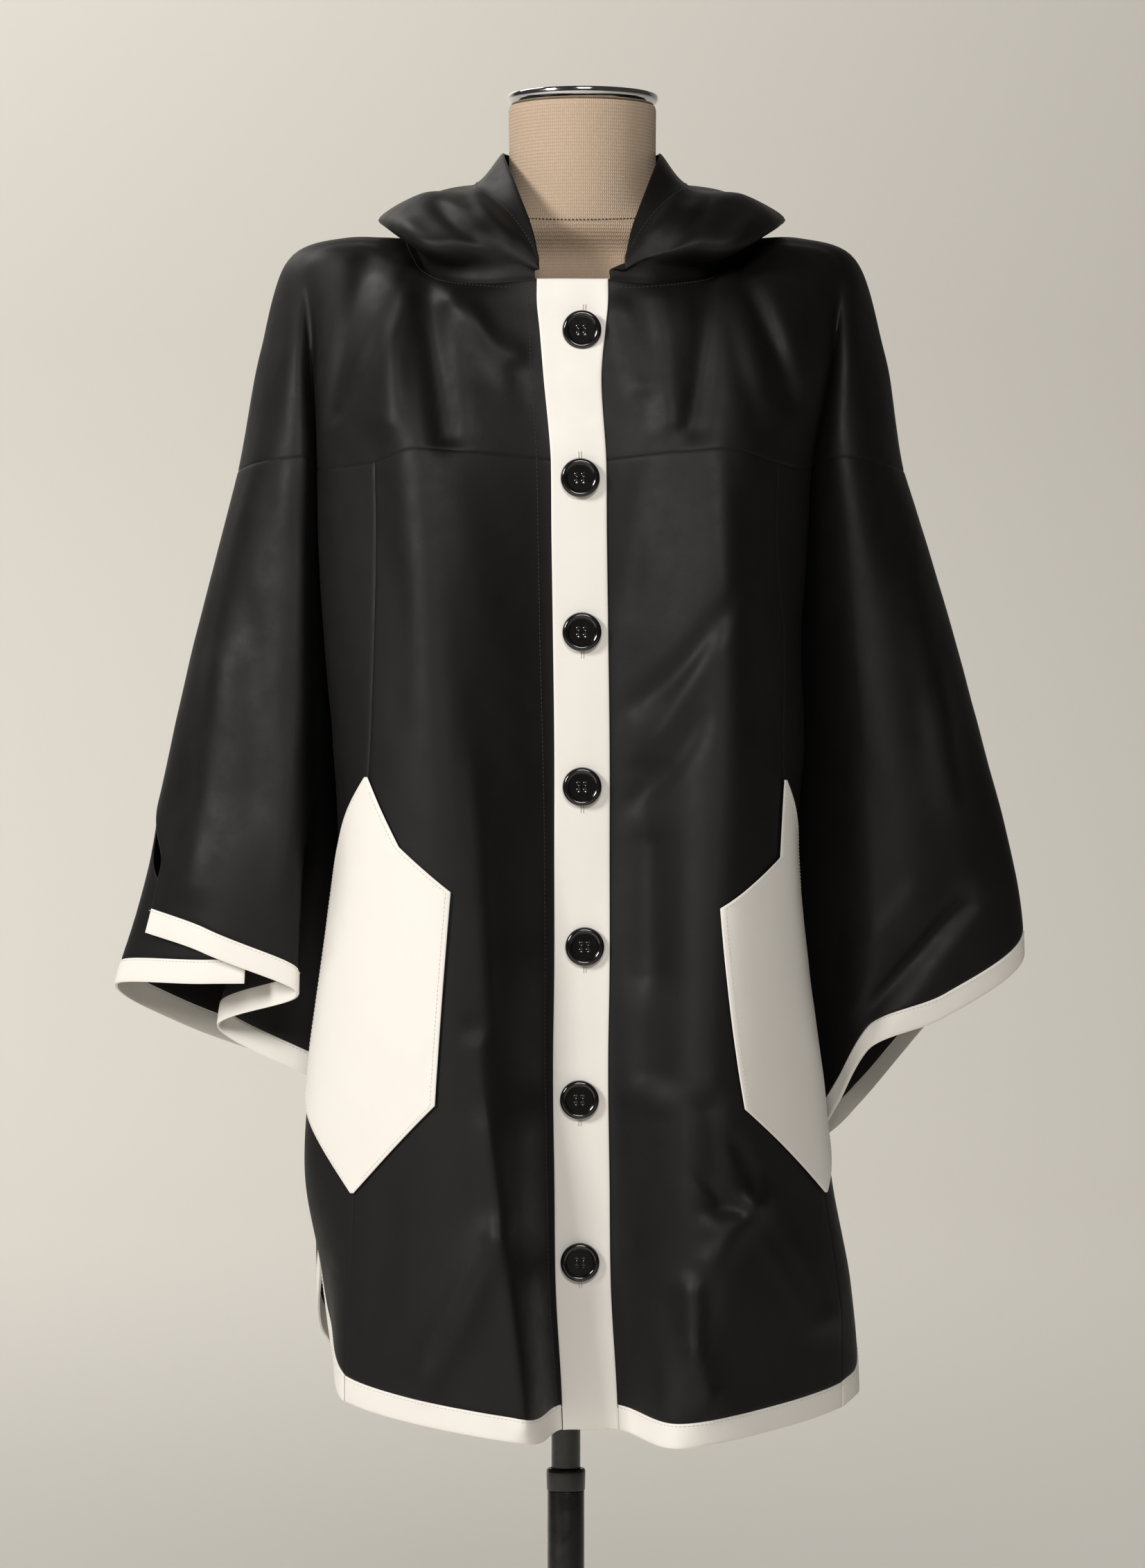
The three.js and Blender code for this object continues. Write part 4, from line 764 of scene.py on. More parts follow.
class Relief:
    """Creases and slack of the cloth, as a height over its surface.

    The slack is soft noise: height, start, and waves for each millimetre around and down.
    """

    slack = ((1.3, 0, 0.012, 0.007), (0.28, 9, 0.045, 0.03))

    def __init__(self) -> None:
        """Samples each crease as a bent line."""
        self.faces = [(-1, self.bent(FRONT_CREASES)), (1, self.bent(BACK_CREASES))]

    @staticmethod
    def bent(creases: list) -> list[tuple[Array, float, float]]:
        """Points along each crease with its half width and height."""
        out = []
        t = np.linspace(0, 1, 13)[:, None]
        for x0, z0, bend, x1, z1, width, height in creases:
            a, b = np.array([x0, z0], float), np.array([x1, z1], float)
            line = b - a
            side = np.array([-line[1], line[0]]) / np.linalg.norm(line)
            out.append((a + line * t + side * bend * 4 * t * (1 - t), width, height))
        return out

    def height(self, point: Array) -> Array:
        """Height of the relief, along the normal, over each point of the cloth."""
        total = np.zeros(len(point))
        for face, creases in self.faces:
            facing = smooth_step(face * point[:, 1], *CREASE_FADE)
            if not facing.any():
                continue
            flat = point[:, [0, 2]]
            for line, width, height in creases:
                reach = 3 * width
                low, high = line.min(0) - reach, line.max(0) + reach
                near = np.flatnonzero(((flat > low) & (flat < high)).all(1) & (facing > 0))
                if not len(near):
                    continue
                total[near] += facing[near] * height * self.profile(flat[near], line, width)
        for height, start, around, down in self.slack:
            place = point * [around, around, down] + [start, 0, 0]
            total += height * np.array([noise.noise(Vector(p)) for p in place])
        return total

    @staticmethod
    def profile(flat: Array, line: Array, width: float) -> Array:
        """Share of a crease's height at each point, which fades at the crease's ends."""
        a, d = line[:-1], np.diff(line, axis=0)
        rel = flat[:, None, :] - a[None]
        t = np.clip((rel * d).sum(2) / (d * d).sum(1), 0, 1)
        far = np.linalg.norm(rel - t[:, :, None] * d, axis=2)
        best = far.argmin(1)
        rows = np.arange(len(flat))
        along = (best + t[rows, best]) / len(d)
        end, least = 0.3, 0.15
        fade = np.clip(np.minimum(along, 1 - along) / end, 0, 1)
        share = least + (1 - least) * fade * (2 - fade)
        return np.exp(-((far[rows, best] / width) ** 2)) * share


@dataclass(frozen=True)
class CoatedCloth:
    """A matte coated raincoat cloth."""

    name: str
    slot: str
    colour: Colour
    shade: Colour
    rough_low: float
    rough_high: float
    grain: float
    gloss: float

    def make(self) -> bpy.types.Material:
        """Builds the material."""
        kit = ShaderKit(self.name, self.slot)
        kit.ramp_colour(kit.noise(9, detail=3), self.shade, self.colour)
        wear = kit.noise(60, detail=5, rough=0.6)
        kit.ramp_value("Roughness", wear, self.rough_low, self.rough_high)
        fine = kit.noise(1900, detail=2)
        leather = kit.noise(420, detail=4, rough=0.55)
        kit.bump([(fine, self.grain, 0.00006), (leather, self.grain * 0.8, 0.0002)])
        kit.set("Specular IOR Level", self.gloss)
        return kit.material


@dataclass(frozen=True)
class Linen:
    """The coarse woven cover of the form, whose threads wander by some metres times a noise."""

    name: str = "woven_linen"
    slot: str = "linen"
    warp: Colour = (0.64, 0.50, 0.365)
    weft: Colour = (0.50, 0.375, 0.265)
    fleck: Colour = (0.64, 0.49, 0.46)
    threads: float = 900.0
    wander: float = 0.0009

    def make(self) -> bpy.types.Material:
        """Builds the material on the form's own UV map, whose unit is a metre."""
        kit = ShaderKit(self.name, self.slot)
        uv = kit.node("ShaderNodeUVMap")
        uv.uv_map = "Cover"
        wobble = kit.noise(300, detail=2)
        place = kit.shifted(uv.outputs[0], wobble, self.wander)
        warp = kit.wave(place, self.threads, "X")
        weft = kit.wave(place, self.threads * 0.85, "Y")
        over = kit.math("GREATER_THAN", warp, weft)
        height = kit.math("MAXIMUM", warp, weft)
        yarn = kit.mix_colour(over, self.weft, self.warp)
        flecks = kit.math("GREATER_THAN", kit.noise(620, detail=3), 0.6)
        flecked = kit.mix_colour(kit.math("MULTIPLY", flecks, 0.55), yarn, self.fleck)
        slub = kit.noise(24, detail=4)
        uneven = kit.mix_colour(kit.math("MULTIPLY", slub, 0.35), flecked, self.weft)
        kit.link(uneven, "Base Color")
        kit.set("Roughness", 0.93)
        kit.set("Specular IOR Level", 0.2)
        kit.set("Sheen Weight", 0.12)
        kit.bump([(height, 0.75, 0.0005), (kit.noise(1500, detail=2), 0.4, 0.0002)])
        return kit.material


@dataclass(frozen=True)
class Hard:
    """A smooth hard finish with faint handling marks."""

    name: str
    slot: str
    colour: Colour
    rough_low: float
    rough_high: float
    metallic: float = 0.0
    coat: float = 0.0
    scale: float = 90.0
    grain: float = 0.05

    def make(self) -> bpy.types.Material:
        """Builds the material."""
        kit = ShaderKit(self.name, self.slot)
        marks = kit.noise(self.scale, detail=6, rough=0.65)
        faint = tuple(c * 0.82 for c in self.colour)
        kit.ramp_colour(marks, faint, self.colour)
        kit.ramp_value("Roughness", marks, self.rough_low, self.rough_high)
        kit.set("Metallic", self.metallic)
        kit.set("Coat Weight", self.coat)
        kit.set("Coat Roughness", 0.06)
        kit.bump([(kit.noise(self.scale * 8, detail=3), self.grain, 0.0001)])
        return kit.material


@dataclass(frozen=True)
class Thread:
    """Twisted sewing thread."""

    name: str
    slot: str
    colour: Colour

    def make(self) -> bpy.types.Material:
        """Builds the material."""
        kit = ShaderKit(self.name, self.slot)
        ply = kit.noise(2400, detail=2)
        kit.ramp_colour(ply, tuple(c * 0.7 for c in self.colour), self.colour)
        kit.ramp_value("Roughness", ply, 0.55, 0.8)
        kit.set("Sheen Weight", 0.2)
        kit.bump([(ply, 0.5, 0.0002)])
        return kit.material


class ShaderKit:
    """Nodes of one material, on Object coordinates."""

    def __init__(self, name: str, slot: str) -> None:
        """Makes an empty material with its shader."""
        self.material = bpy.data.materials.new(name)
        self.material.use_nodes = True
        self.material["slot"] = slot
        self.tree = self.material.node_tree
        self.shader = self.tree.nodes["Principled BSDF"]
        self.place = self.node("ShaderNodeTexCoord").outputs["Object"]

    def node(self, kind: str) -> bpy.types.Node:
        """Adds a node."""
        return self.tree.nodes.new(kind)

    def set(self, socket: str, value: float) -> None:
        """Sets a number that is the same all over the surface."""
        self.shader.inputs[socket].default_value = value

    def link(self, source: Socket, socket: str) -> None:
        """Links a result to the shader."""
        self.tree.links.new(source, self.shader.inputs[socket])

    def noise(self, scale: float, detail: float = 2, rough: float = 0.5) -> Socket:
        """A noise over the piece, with scale in cycles a metre."""
        made = self.node("ShaderNodeTexNoise")
        made.inputs["Scale"].default_value = scale
        made.inputs["Detail"].default_value = detail
        made.inputs["Roughness"].default_value = rough
        self.tree.links.new(self.place, made.inputs["Vector"])
        return made.outputs[0]

    def shifted(self, place: Socket, wobble: Socket, wander: float) -> Socket:
        """A place that wanders by a noise times a distance in metres."""
        made = self.node("ShaderNodeVectorMath")
        made.operation = "MULTIPLY_ADD"
        made.inputs[1].default_value = (wander,) * 3
        self.tree.links.new(wobble, made.inputs[0])
        self.tree.links.new(place, made.inputs[2])
        return made.outputs[0]

    def wave(self, place: Socket, scale: float, axis: str) -> Socket:
        """Rounded threads that run across an axis of the UV map."""
        made = self.node("ShaderNodeTexWave")
        made.bands_direction = axis
        made.inputs["Scale"].default_value = scale / math.tau
        made.inputs["Distortion"].default_value = 0
        self.tree.links.new(place, made.inputs["Vector"])
        return made.outputs["Fac"]

    def feed(self, socket: Socket, value: Socket | float | tuple) -> None:
        """Links a socket to another, or gives it a value."""
        if isinstance(value, Socket):
            self.tree.links.new(value, socket)
        else:
            socket.default_value = value

    def math(self, operation: str, a: Socket, b: Socket | float) -> Socket:
        """Joins two sockets, or a socket and a number."""
        made = self.node("ShaderNodeMath")
        made.operation = operation
        self.feed(made.inputs[0], a)
        self.feed(made.inputs[1], b)
        return made.outputs[0]

    def mix_colour(self, share: Socket, a: Socket | Colour, b: Socket | Colour) -> Socket:
        """A blend of two colours."""
        made = self.node("ShaderNodeMix")
        made.data_type = "RGBA"
        self.tree.links.new(share, made.inputs[0])
        for number, value in ((6, a), (7, b)):
            self.feed(made.inputs[number], value if isinstance(value, Socket) else (*value, 1))
        return made.outputs[2]

    def ramp_colour(self, share: Socket, low: Colour, high: Colour) -> None:
        """Gives the surface a colour that drifts between two."""
        self.link(self.mix_colour(share, low, high), "Base Color")

    def ramp_value(self, socket: str, share: Socket, low: float, high: float) -> None:
        """Gives a socket a value that drifts between two."""
        made = self.node("ShaderNodeMapRange")
        made.inputs["From Min"].default_value = 0.3
        made.inputs["From Max"].default_value = 0.7
        made.inputs["To Min"].default_value = low
        made.inputs["To Max"].default_value = high
        self.tree.links.new(share, made.inputs["Value"])
        self.link(made.outputs[0], socket)

    def bump(self, layers: Sequence[tuple[Socket, float, float]]) -> None:
        """Chains bumps, each a height, a strength and a depth in metres."""
        below = None
        for height, strength, depth in layers:
            made = self.node("ShaderNodeBump")
            made.inputs["Strength"].default_value = strength
            made.inputs["Distance"].default_value = depth
            self.tree.links.new(height, made.inputs["Height"])
            if below is not None:
                self.tree.links.new(below, made.inputs["Normal"])
            below = made.outputs[0]
        self.link(below, "Normal")


class Finish(Enum):
    """Finishes of the object."""

    BLACK_CLOTH = CoatedCloth(
        "black_coated_cloth",
        "black_cloth",
        colour=(0.0062, 0.0055, 0.0054),
        shade=(0.0042, 0.0037, 0.0037),
        rough_low=0.50,
        rough_high=0.60,
        grain=0.34,
        gloss=0.27,
    )
    WHITE_CLOTH = CoatedCloth(
        "white_coated_cloth",
        "white_cloth",
        colour=(0.90, 0.875, 0.83),
        shade=(0.84, 0.81, 0.76),
        rough_low=0.42,
        rough_high=0.56,
        grain=0.30,
        gloss=0.40,
    )
    BUTTON_GLOSS = Hard("button_gloss", "button", (0.0065, 0.006, 0.006), 0.10, 0.18, coat=0.6)
    BUTTON_DISH = Hard("button_dish", "button", (0.020, 0.0185, 0.018), 0.42, 0.55)
    LINEN = Linen()
    CHROME = Hard("polished_chrome", "chrome", (0.80, 0.80, 0.81), 0.05, 0.14, metallic=1.0)
    BLACK_STEEL = Hard("black_enamel", "black_steel", (0.01, 0.01, 0.0105), 0.22, 0.36, coat=0.25)
    BLACK_THREAD = Thread("black_thread", "black_cloth", (0.006, 0.0055, 0.0055))
    WHITE_THREAD = Thread("white_thread", "white_cloth", (0.78, 0.75, 0.69))
    BROWN_THREAD = Thread("brown_thread", "linen", (0.07, 0.042, 0.026))


class Workroom:
    """Makes finished objects and logs each one."""

    def __init__(self) -> None:
        """Builds the materials."""
        self.materials = {finish: finish.value.make() for finish in Finish}

    def piece(
        self,
        name: str,
        vertices: Array,
        faces: Sequence,
        finishes: Sequence[Finish],
        body: str = FORM_BODY,
        node: str | None = None,
        sharp: float = 50,
        face_finish: Sequence[int] | None = None,
    ) -> bpy.types.Object:
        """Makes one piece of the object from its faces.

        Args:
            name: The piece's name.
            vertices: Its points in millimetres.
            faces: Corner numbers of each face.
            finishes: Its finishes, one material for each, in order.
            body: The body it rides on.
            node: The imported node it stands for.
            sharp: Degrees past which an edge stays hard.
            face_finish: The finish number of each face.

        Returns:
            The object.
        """
        mesh = bpy.data.meshes.new(name)
        corners = [list(map(int, face)) for face in faces]
        mesh.from_pydata((np.asarray(vertices) * MM).tolist(), [], corners)
        mesh.polygons.foreach_set("use_smooth", [True] * len(mesh.polygons))
        if face_finish is not None:
            mesh.polygons.foreach_set("material_index", list(face_finish))
        mesh.set_sharp_from_angle(angle=math.radians(sharp))
        return self.finish(name, mesh, finishes, body, node)

    def finish(
        self,
        name: str,
        mesh: bpy.types.Mesh,
        finishes: Sequence[Finish],
        body: str = FORM_BODY,
        node: str | None = None,
    ) -> bpy.types.Object:
        """Dresses a mesh, puts it on its body and hides the imported node it stands for."""
        mesh.materials.clear()
        for finish in finishes:
            mesh.materials.append(self.materials[finish])
        mesh.update()
        made = bpy.data.objects.new(name, mesh)
        bpy.context.scene.collection.objects.link(made)
        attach(made, body)
        if node is not None:
            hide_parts(node)
        LOG.info("%s: %d faces on %s", name, len(mesh.polygons), body)
        return made


@dataclass(frozen=True)
class Cut:
    """The flat size of one cut piece of cloth, in metres."""

    width: float
    length: float
    area: float


# The cut of what shows of each sewn piece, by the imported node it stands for.
CUTS = {
    "yoke_front_l": Cut(0.378, 0.265, 0.0551),
    "front_l": Cut(0.248, 0.716, 0.1365),
    "side_l": Cut(0.151, 0.677, 0.0783),
    "sleeve_front_l": Cut(0.324, 0.453, 0.0763),
    "sleeve_back_l": Cut(0.334, 0.450, 0.0729),
    "hem_front_l": Cut(0.229, 0.020, 0.0043),
    "hem_side_l": Cut(0.153, 0.029, 0.0028),
    "cuff_front_l": Cut(0.328, 0.020, 0.0058),
    "cuff_back_l": Cut(0.336, 0.020, 0.0062),
    "pocket_l": Cut(0.144, 0.368, 0.0322),
    "hood_l": Cut(0.448, 0.258, 0.0554),
    "yoke_front_r": Cut(0.360, 0.265, 0.0538),
    "front_r": Cut(0.242, 0.724, 0.1393),
    "side_r": Cut(0.149, 0.689, 0.0631),
    "sleeve_front_r": Cut(0.263, 0.499, 0.0804),
    "sleeve_back_r": Cut(0.249, 0.496, 0.0737),
    "hem_front_r": Cut(0.218, 0.020, 0.0041),
    "hem_side_r": Cut(0.154, 0.029, 0.0022),
    "cuff_front_r": Cut(0.264, 0.020, 0.0040),
    "cuff_back_r": Cut(0.248, 0.019, 0.0037),
    "pocket_r": Cut(0.140, 0.387, 0.0305),
    "hood_r": Cut(0.448, 0.258, 0.0574),
    "back": Cut(0.673, 0.714, 0.3558),
    "hem_back": Cut(0.677, 0.029, 0.0128),
    "yoke_back": Cut(0.666, 0.265, 0.1106),
    "placket": Cut(0.053, 0.855, 0.0357),
}


@dataclass
class Shell:
    """A thin closed wall of cloth over a range of a surface.

    Sizes are millimetres. The lift is from the surface to the outer face, cell the grid's step,
    trim how far the edges stay inside the range, or past it where it is negative, roll how far they
    are rounded, sink how far the first row goes on past its seam, and fine the lines by an edge.
    """

    surface: Surface
    u_range: tuple[float, float]
    v_range: tuple[float, float]
    sense: int
    relief: Relief
    wall: float = CLOTH
    lift: float = 0.0
    cell: float = 4.0
    trim: float = -0.3
    roll: float = 0.6
    rows_at: tuple[float, ...] = ()
    sink: float = 0.0
    fine: tuple[float, ...] = (0, 0.5, 1.4, 3.2)
    us: Array = field(init=False)
    vs: Array = field(init=False)

    def __post_init__(self) -> None:
        """Spaces the grid evenly along the cloth, with finer rows by its edges."""
        u_mid, v_mid = np.mean(self.u_range), np.mean(self.v_range)
        us, vs = np.linspace(*self.u_range, DENSE), np.linspace(*self.v_range, DENSE)
        self.us = self.spaced(us, self.surface(us, np.full(len(us), v_mid)))
        self.vs = self.spaced(vs, self.surface(np.full(len(vs), u_mid), vs))
        if self.rows_at:
            self.vs = np.unique(np.concatenate([self.vs, self.rows_at]))

    def spaced(self, dense: Array, line: Array) -> Array:
        """Numbers an even distance apart on the cloth, from close ones and their points."""
        run = run_along(line)
        length = run[-1]
        start = self.fine[-1]
        inner = np.linspace(start, length - start, max(3, int(length / self.cell)))
        ends = np.array(self.fine[:-1])
        at = np.unique(np.concatenate([ends, inner, length - ends]))
        return np.interp(at, run, dense)

    def grid(self, us: Array, vs: Array) -> tuple[Array, Array]:
        """Points and outward normals of the cloth over a grid, creases included."""
        u, v = (a.ravel() for a in np.meshgrid(us, vs, indexing="ij"))
        point = self.surface(u, v).reshape(len(us), len(vs), 3)
        normal = self.normals(point)
        height = self.relief.height(point.reshape(-1, 3))
        return point + normal * height.reshape(len(us), len(vs), 1), normal

    def normals(self, point: Array) -> Array:
        """Outward normals of a grid of points."""
        across, down = np.gradient(point, axis=0), np.gradient(point, axis=1)
        return unit(np.cross(across, down) * self.sense)

    def edge_distance(self, point: Array) -> Array:
        """Distance of each grid point from the nearest edge, along the grid's lines."""
        out = np.full(point.shape[:2], np.inf)
        for axis in (0, 1):
            step = np.linalg.norm(np.diff(point, axis=axis), axis=2)
            first = np.zeros((1, point.shape[1])) if axis == 0 else np.zeros((point.shape[0], 1))
            run = np.concatenate([first, np.cumsum(step, axis=axis)], axis=axis)
            total = run[-1:] if axis == 0 else run[:, -1:]
            out = np.minimum(out, np.minimum(run, total - run))
        return out

    def mesh(self) -> tuple[Array, list]:
        """Vertices in millimetres and faces of the closed wall."""
        point, normal = self.grid(self.us, self.vs)
        nu, nv = point.shape[:2]
        far = self.edge_distance(point)
        drop = self.roll * np.clip(1 - far / ROLL_REACH, 0, 1) ** 2
        for axis in (0, 1):
            inward = unit(np.gradient(point, axis=axis))
            first = (slice(0, 1), slice(None)) if axis == 0 else (slice(None), slice(0, 1))
            last = (slice(-1, None), slice(None)) if axis == 0 else (slice(None), slice(-1, None))
            point[first] += inward[first] * (self.trim - (self.sink if axis else 0))
            point[last] -= inward[last] * self.trim
        outer = point + normal * (self.lift - drop)[:, :, None]
        inner = point + normal * (self.lift - self.wall + drop * INNER_ROLL)[:, :, None]
        vertices = np.concatenate([outer.reshape(-1, 3), inner.reshape(-1, 3)])
        return vertices, self.faces(nu, nv)

    def faces(self, nu: int, nv: int) -> list:
        """Faces of a closed wall whose outer grid comes first."""
        index = np.arange(nu * nv).reshape(nu, nv)
        a, b = index[:-1, :-1].ravel(), index[1:, :-1].ravel()
        c, d = index[1:, 1:].ravel(), index[:-1, 1:].ravel()
        n = nu * nv
        outer = np.stack([a, b, c, d], axis=1)
        faces = [outer, outer[:, ::-1] + n]
        loop = np.concatenate([index[:, 0], index[-1, 1:], index[-2::-1, -1], index[0, -2:0:-1]])
        after = np.roll(loop, -1)
        faces.append(np.stack([after, loop, loop + n, after + n], axis=1))
        made = np.concatenate(faces)
        return (made if self.sense > 0 else made[:, ::-1]).tolist()

    def path(self, us: Array, vs: Array, rise: float = 0.0) -> Array:
        """Points on the outer face along a line of u and v.

        Args:
            us: Column at each point.
            vs: Row at each point.
            rise: Millimetres over the outer face.

        Returns:
            Points in millimetres.
        """
        step = 0.01
        point = self.surface(us, vs)
        across = self.surface(us + step, vs) - self.surface(us - step, vs)
        down = self.surface(us, vs + step) - self.surface(us, vs - step)
        normal = unit(np.cross(across, down) * self.sense)
        height = self.relief.height(point) + self.lift + rise
        return point + normal * height[:, None]

    def inset(self, u_span: Sequence[float], v_span: Sequence[float], inset: float) -> Array:
        """A sewn line that runs inside an edge.

        Args:
            u_span: Column at each end of the edge.
            v_span: Row at each end of the edge; one of the two spans has no length.
            inset: Millimetres in from the edge, towards the middle of the shell.

        Returns:
            Points in millimetres on the outer face.
        """
        step = 0.02
        us, vs = np.linspace(*u_span, ROW_POINTS), np.linspace(*v_span, ROW_POINTS)
        along_row = v_span[0] == v_span[1]
        middle, edge = (self.v_range, v_span[0]) if along_row else (self.u_range, u_span[0])
        toward = step if np.mean(middle) > edge else -step
        du, dv = (0, toward) if along_row else (toward, 0)
        size = np.linalg.norm(self.surface(us + du, vs + dv) - self.surface(us, vs), axis=1)
        share = inset / np.maximum(size, 1e-6)
        return self.path(us + du * share, vs + dv * share, INSET_RISE)


class Stitcher:
    """Sews rows of stitches along lines, by Geometry Nodes."""

    def __init__(self, room: Workroom) -> None:
        """Builds the tree."""
        self.room = room
        self.tree, self.ids = self.build_tree()

    @staticmethod
    def build_tree() -> tuple[bpy.types.NodeTree, dict[str, str]]:
        """Builds the tree that lays one bead of thread at each step of a line.

        Returns:
            The tree, and the identifier of each named input.
        """
        tree = bpy.data.node_groups.new("stitch_rows", "GeometryNodeTree")
        inputs = (
            ("Lines", "NodeSocketGeometry", None),
            ("Pitch", "NodeSocketFloat", 0.0032),
            ("Length", "NodeSocketFloat", 0.0024),
            ("Thickness", "NodeSocketFloat", 0.0006),
            ("Unevenness", "NodeSocketFloat", 0.1),
            ("Thread", "NodeSocketMaterial", None),
        )
        ids = {}
        for name, kind, value in inputs:
            socket = tree.interface.new_socket(name, in_out="INPUT", socket_type=kind)
            if value is not None:
                socket.default_value = value
            ids[name] = socket.identifier
        tree.interface.new_socket("Stitches", in_out="OUTPUT", socket_type="NodeSocketGeometry")
        new = tree.nodes.new
        entry, leave = new("NodeGroupInput"), new("NodeGroupOutput")
        curve = new("GeometryNodeMeshToCurve")
        even = new("GeometryNodeResampleCurve")
        even.mode = "LENGTH"
        tangent = new("GeometryNodeInputTangent")
        turn = new("FunctionNodeAlignRotationToVector")
        turn.axis = "X"
        bead = new("GeometryNodeMeshUVSphere")
        for name, value in (("Segments", 6), ("Rings", 4), ("Radius", 0.5)):
            bead.inputs[name].default_value = value
        vary = new("FunctionNodeRandomValue")
        vary.data_type = "FLOAT"
        vary.inputs["Seed"].default_value = 7
        less, size = new("ShaderNodeMath"), new("ShaderNodeMath")
        less.operation, size.operation = "SUBTRACT", "MULTIPLY"
        less.inputs[0].default_value = 1.0
        shape = new("ShaderNodeCombineXYZ")
        place = new("GeometryNodeInstanceOnPoints")
        real = new("GeometryNodeRealizeInstances")
        paint = new("GeometryNodeSetMaterial")
        smooth = new("GeometryNodeSetShadeSmooth")
        links = (
            (entry, "Lines", curve, "Mesh"),
            (curve, "Curve", even, "Curve"),
            (entry, "Pitch", even, "Length"),
            (tangent, "Tangent", turn, "Vector"),
            (entry, "Unevenness", less, 1),
            (less, 0, vary, 2),
            (vary, 1, size, 0),
            (entry, "Length", size, 1),
            (size, 0, shape, "X"),
            (entry, "Thickness", shape, "Y"),
            (entry, "Thickness", shape, "Z"),
            (even, "Curve", place, "Points"),
            (bead, "Mesh", place, "Instance"),
            (turn, "Rotation", place, "Rotation"),
            (shape, 0, place, "Scale"),
            (place, "Instances", smooth, "Geometry"),
            (smooth, "Geometry", real, "Geometry"),
            (real, "Geometry", paint, "Geometry"),
            (entry, "Thread", paint, "Material"),
            (paint, "Geometry", leave, 0),
        )
        for source, output, target, entrance in links:
            tree.links.new(source.outputs[output], target.inputs[entrance])
        return tree, ids

    def sew(
        self,
        name: str,
        lines: Sequence[Array],
        finish: Finish,
        pitch: float = 3.2,
        length: float = 2.4,
        thick: float = 0.75,
    ) -> bpy.types.Object:
        """Sews one piece of thread work.

        Args:
            name: The piece's name.
            lines: Lines of points in millimetres.
            finish: The thread.
            pitch: Distance from stitch to stitch.
            length: Length of one stitch.
            thick: Thickness of the thread.

        Returns:
            The stitches as a plain mesh.
        """
        points = np.concatenate(lines) * MM
        edges, start = [], 0
        for line in lines:
            edges += [(start + i, start + i + 1) for i in range(len(line) - 1)]
            start += len(line)
        guide_mesh = bpy.data.meshes.new(f"{name}_guide")
        guide_mesh.from_pydata(points.tolist(), edges, [])
        guide = bpy.data.objects.new(f"{name}_guide", guide_mesh)
        bpy.context.scene.collection.objects.link(guide)
        modifier = guide.modifiers.new("stitches", "NODES")
        modifier.node_group = self.tree
        values = {
            "Pitch": pitch * MM,
            "Length": length * MM,
            "Thickness": thick * MM,
            "Unevenness": 0.12,
            "Thread": self.room.materials[finish],
        }
        for socket, value in values.items():
            modifier[self.ids[socket]] = value
        bpy.context.view_layer.update()
        graph = bpy.context.evaluated_depsgraph_get()
        mesh = bpy.data.meshes.new_from_object(guide.evaluated_get(graph))
        guide.modifiers.remove(modifier)
        bpy.data.objects.remove(guide)
        bpy.data.meshes.remove(guide_mesh)
        mesh.name = name
        return self.room.finish(name, mesh, [finish])


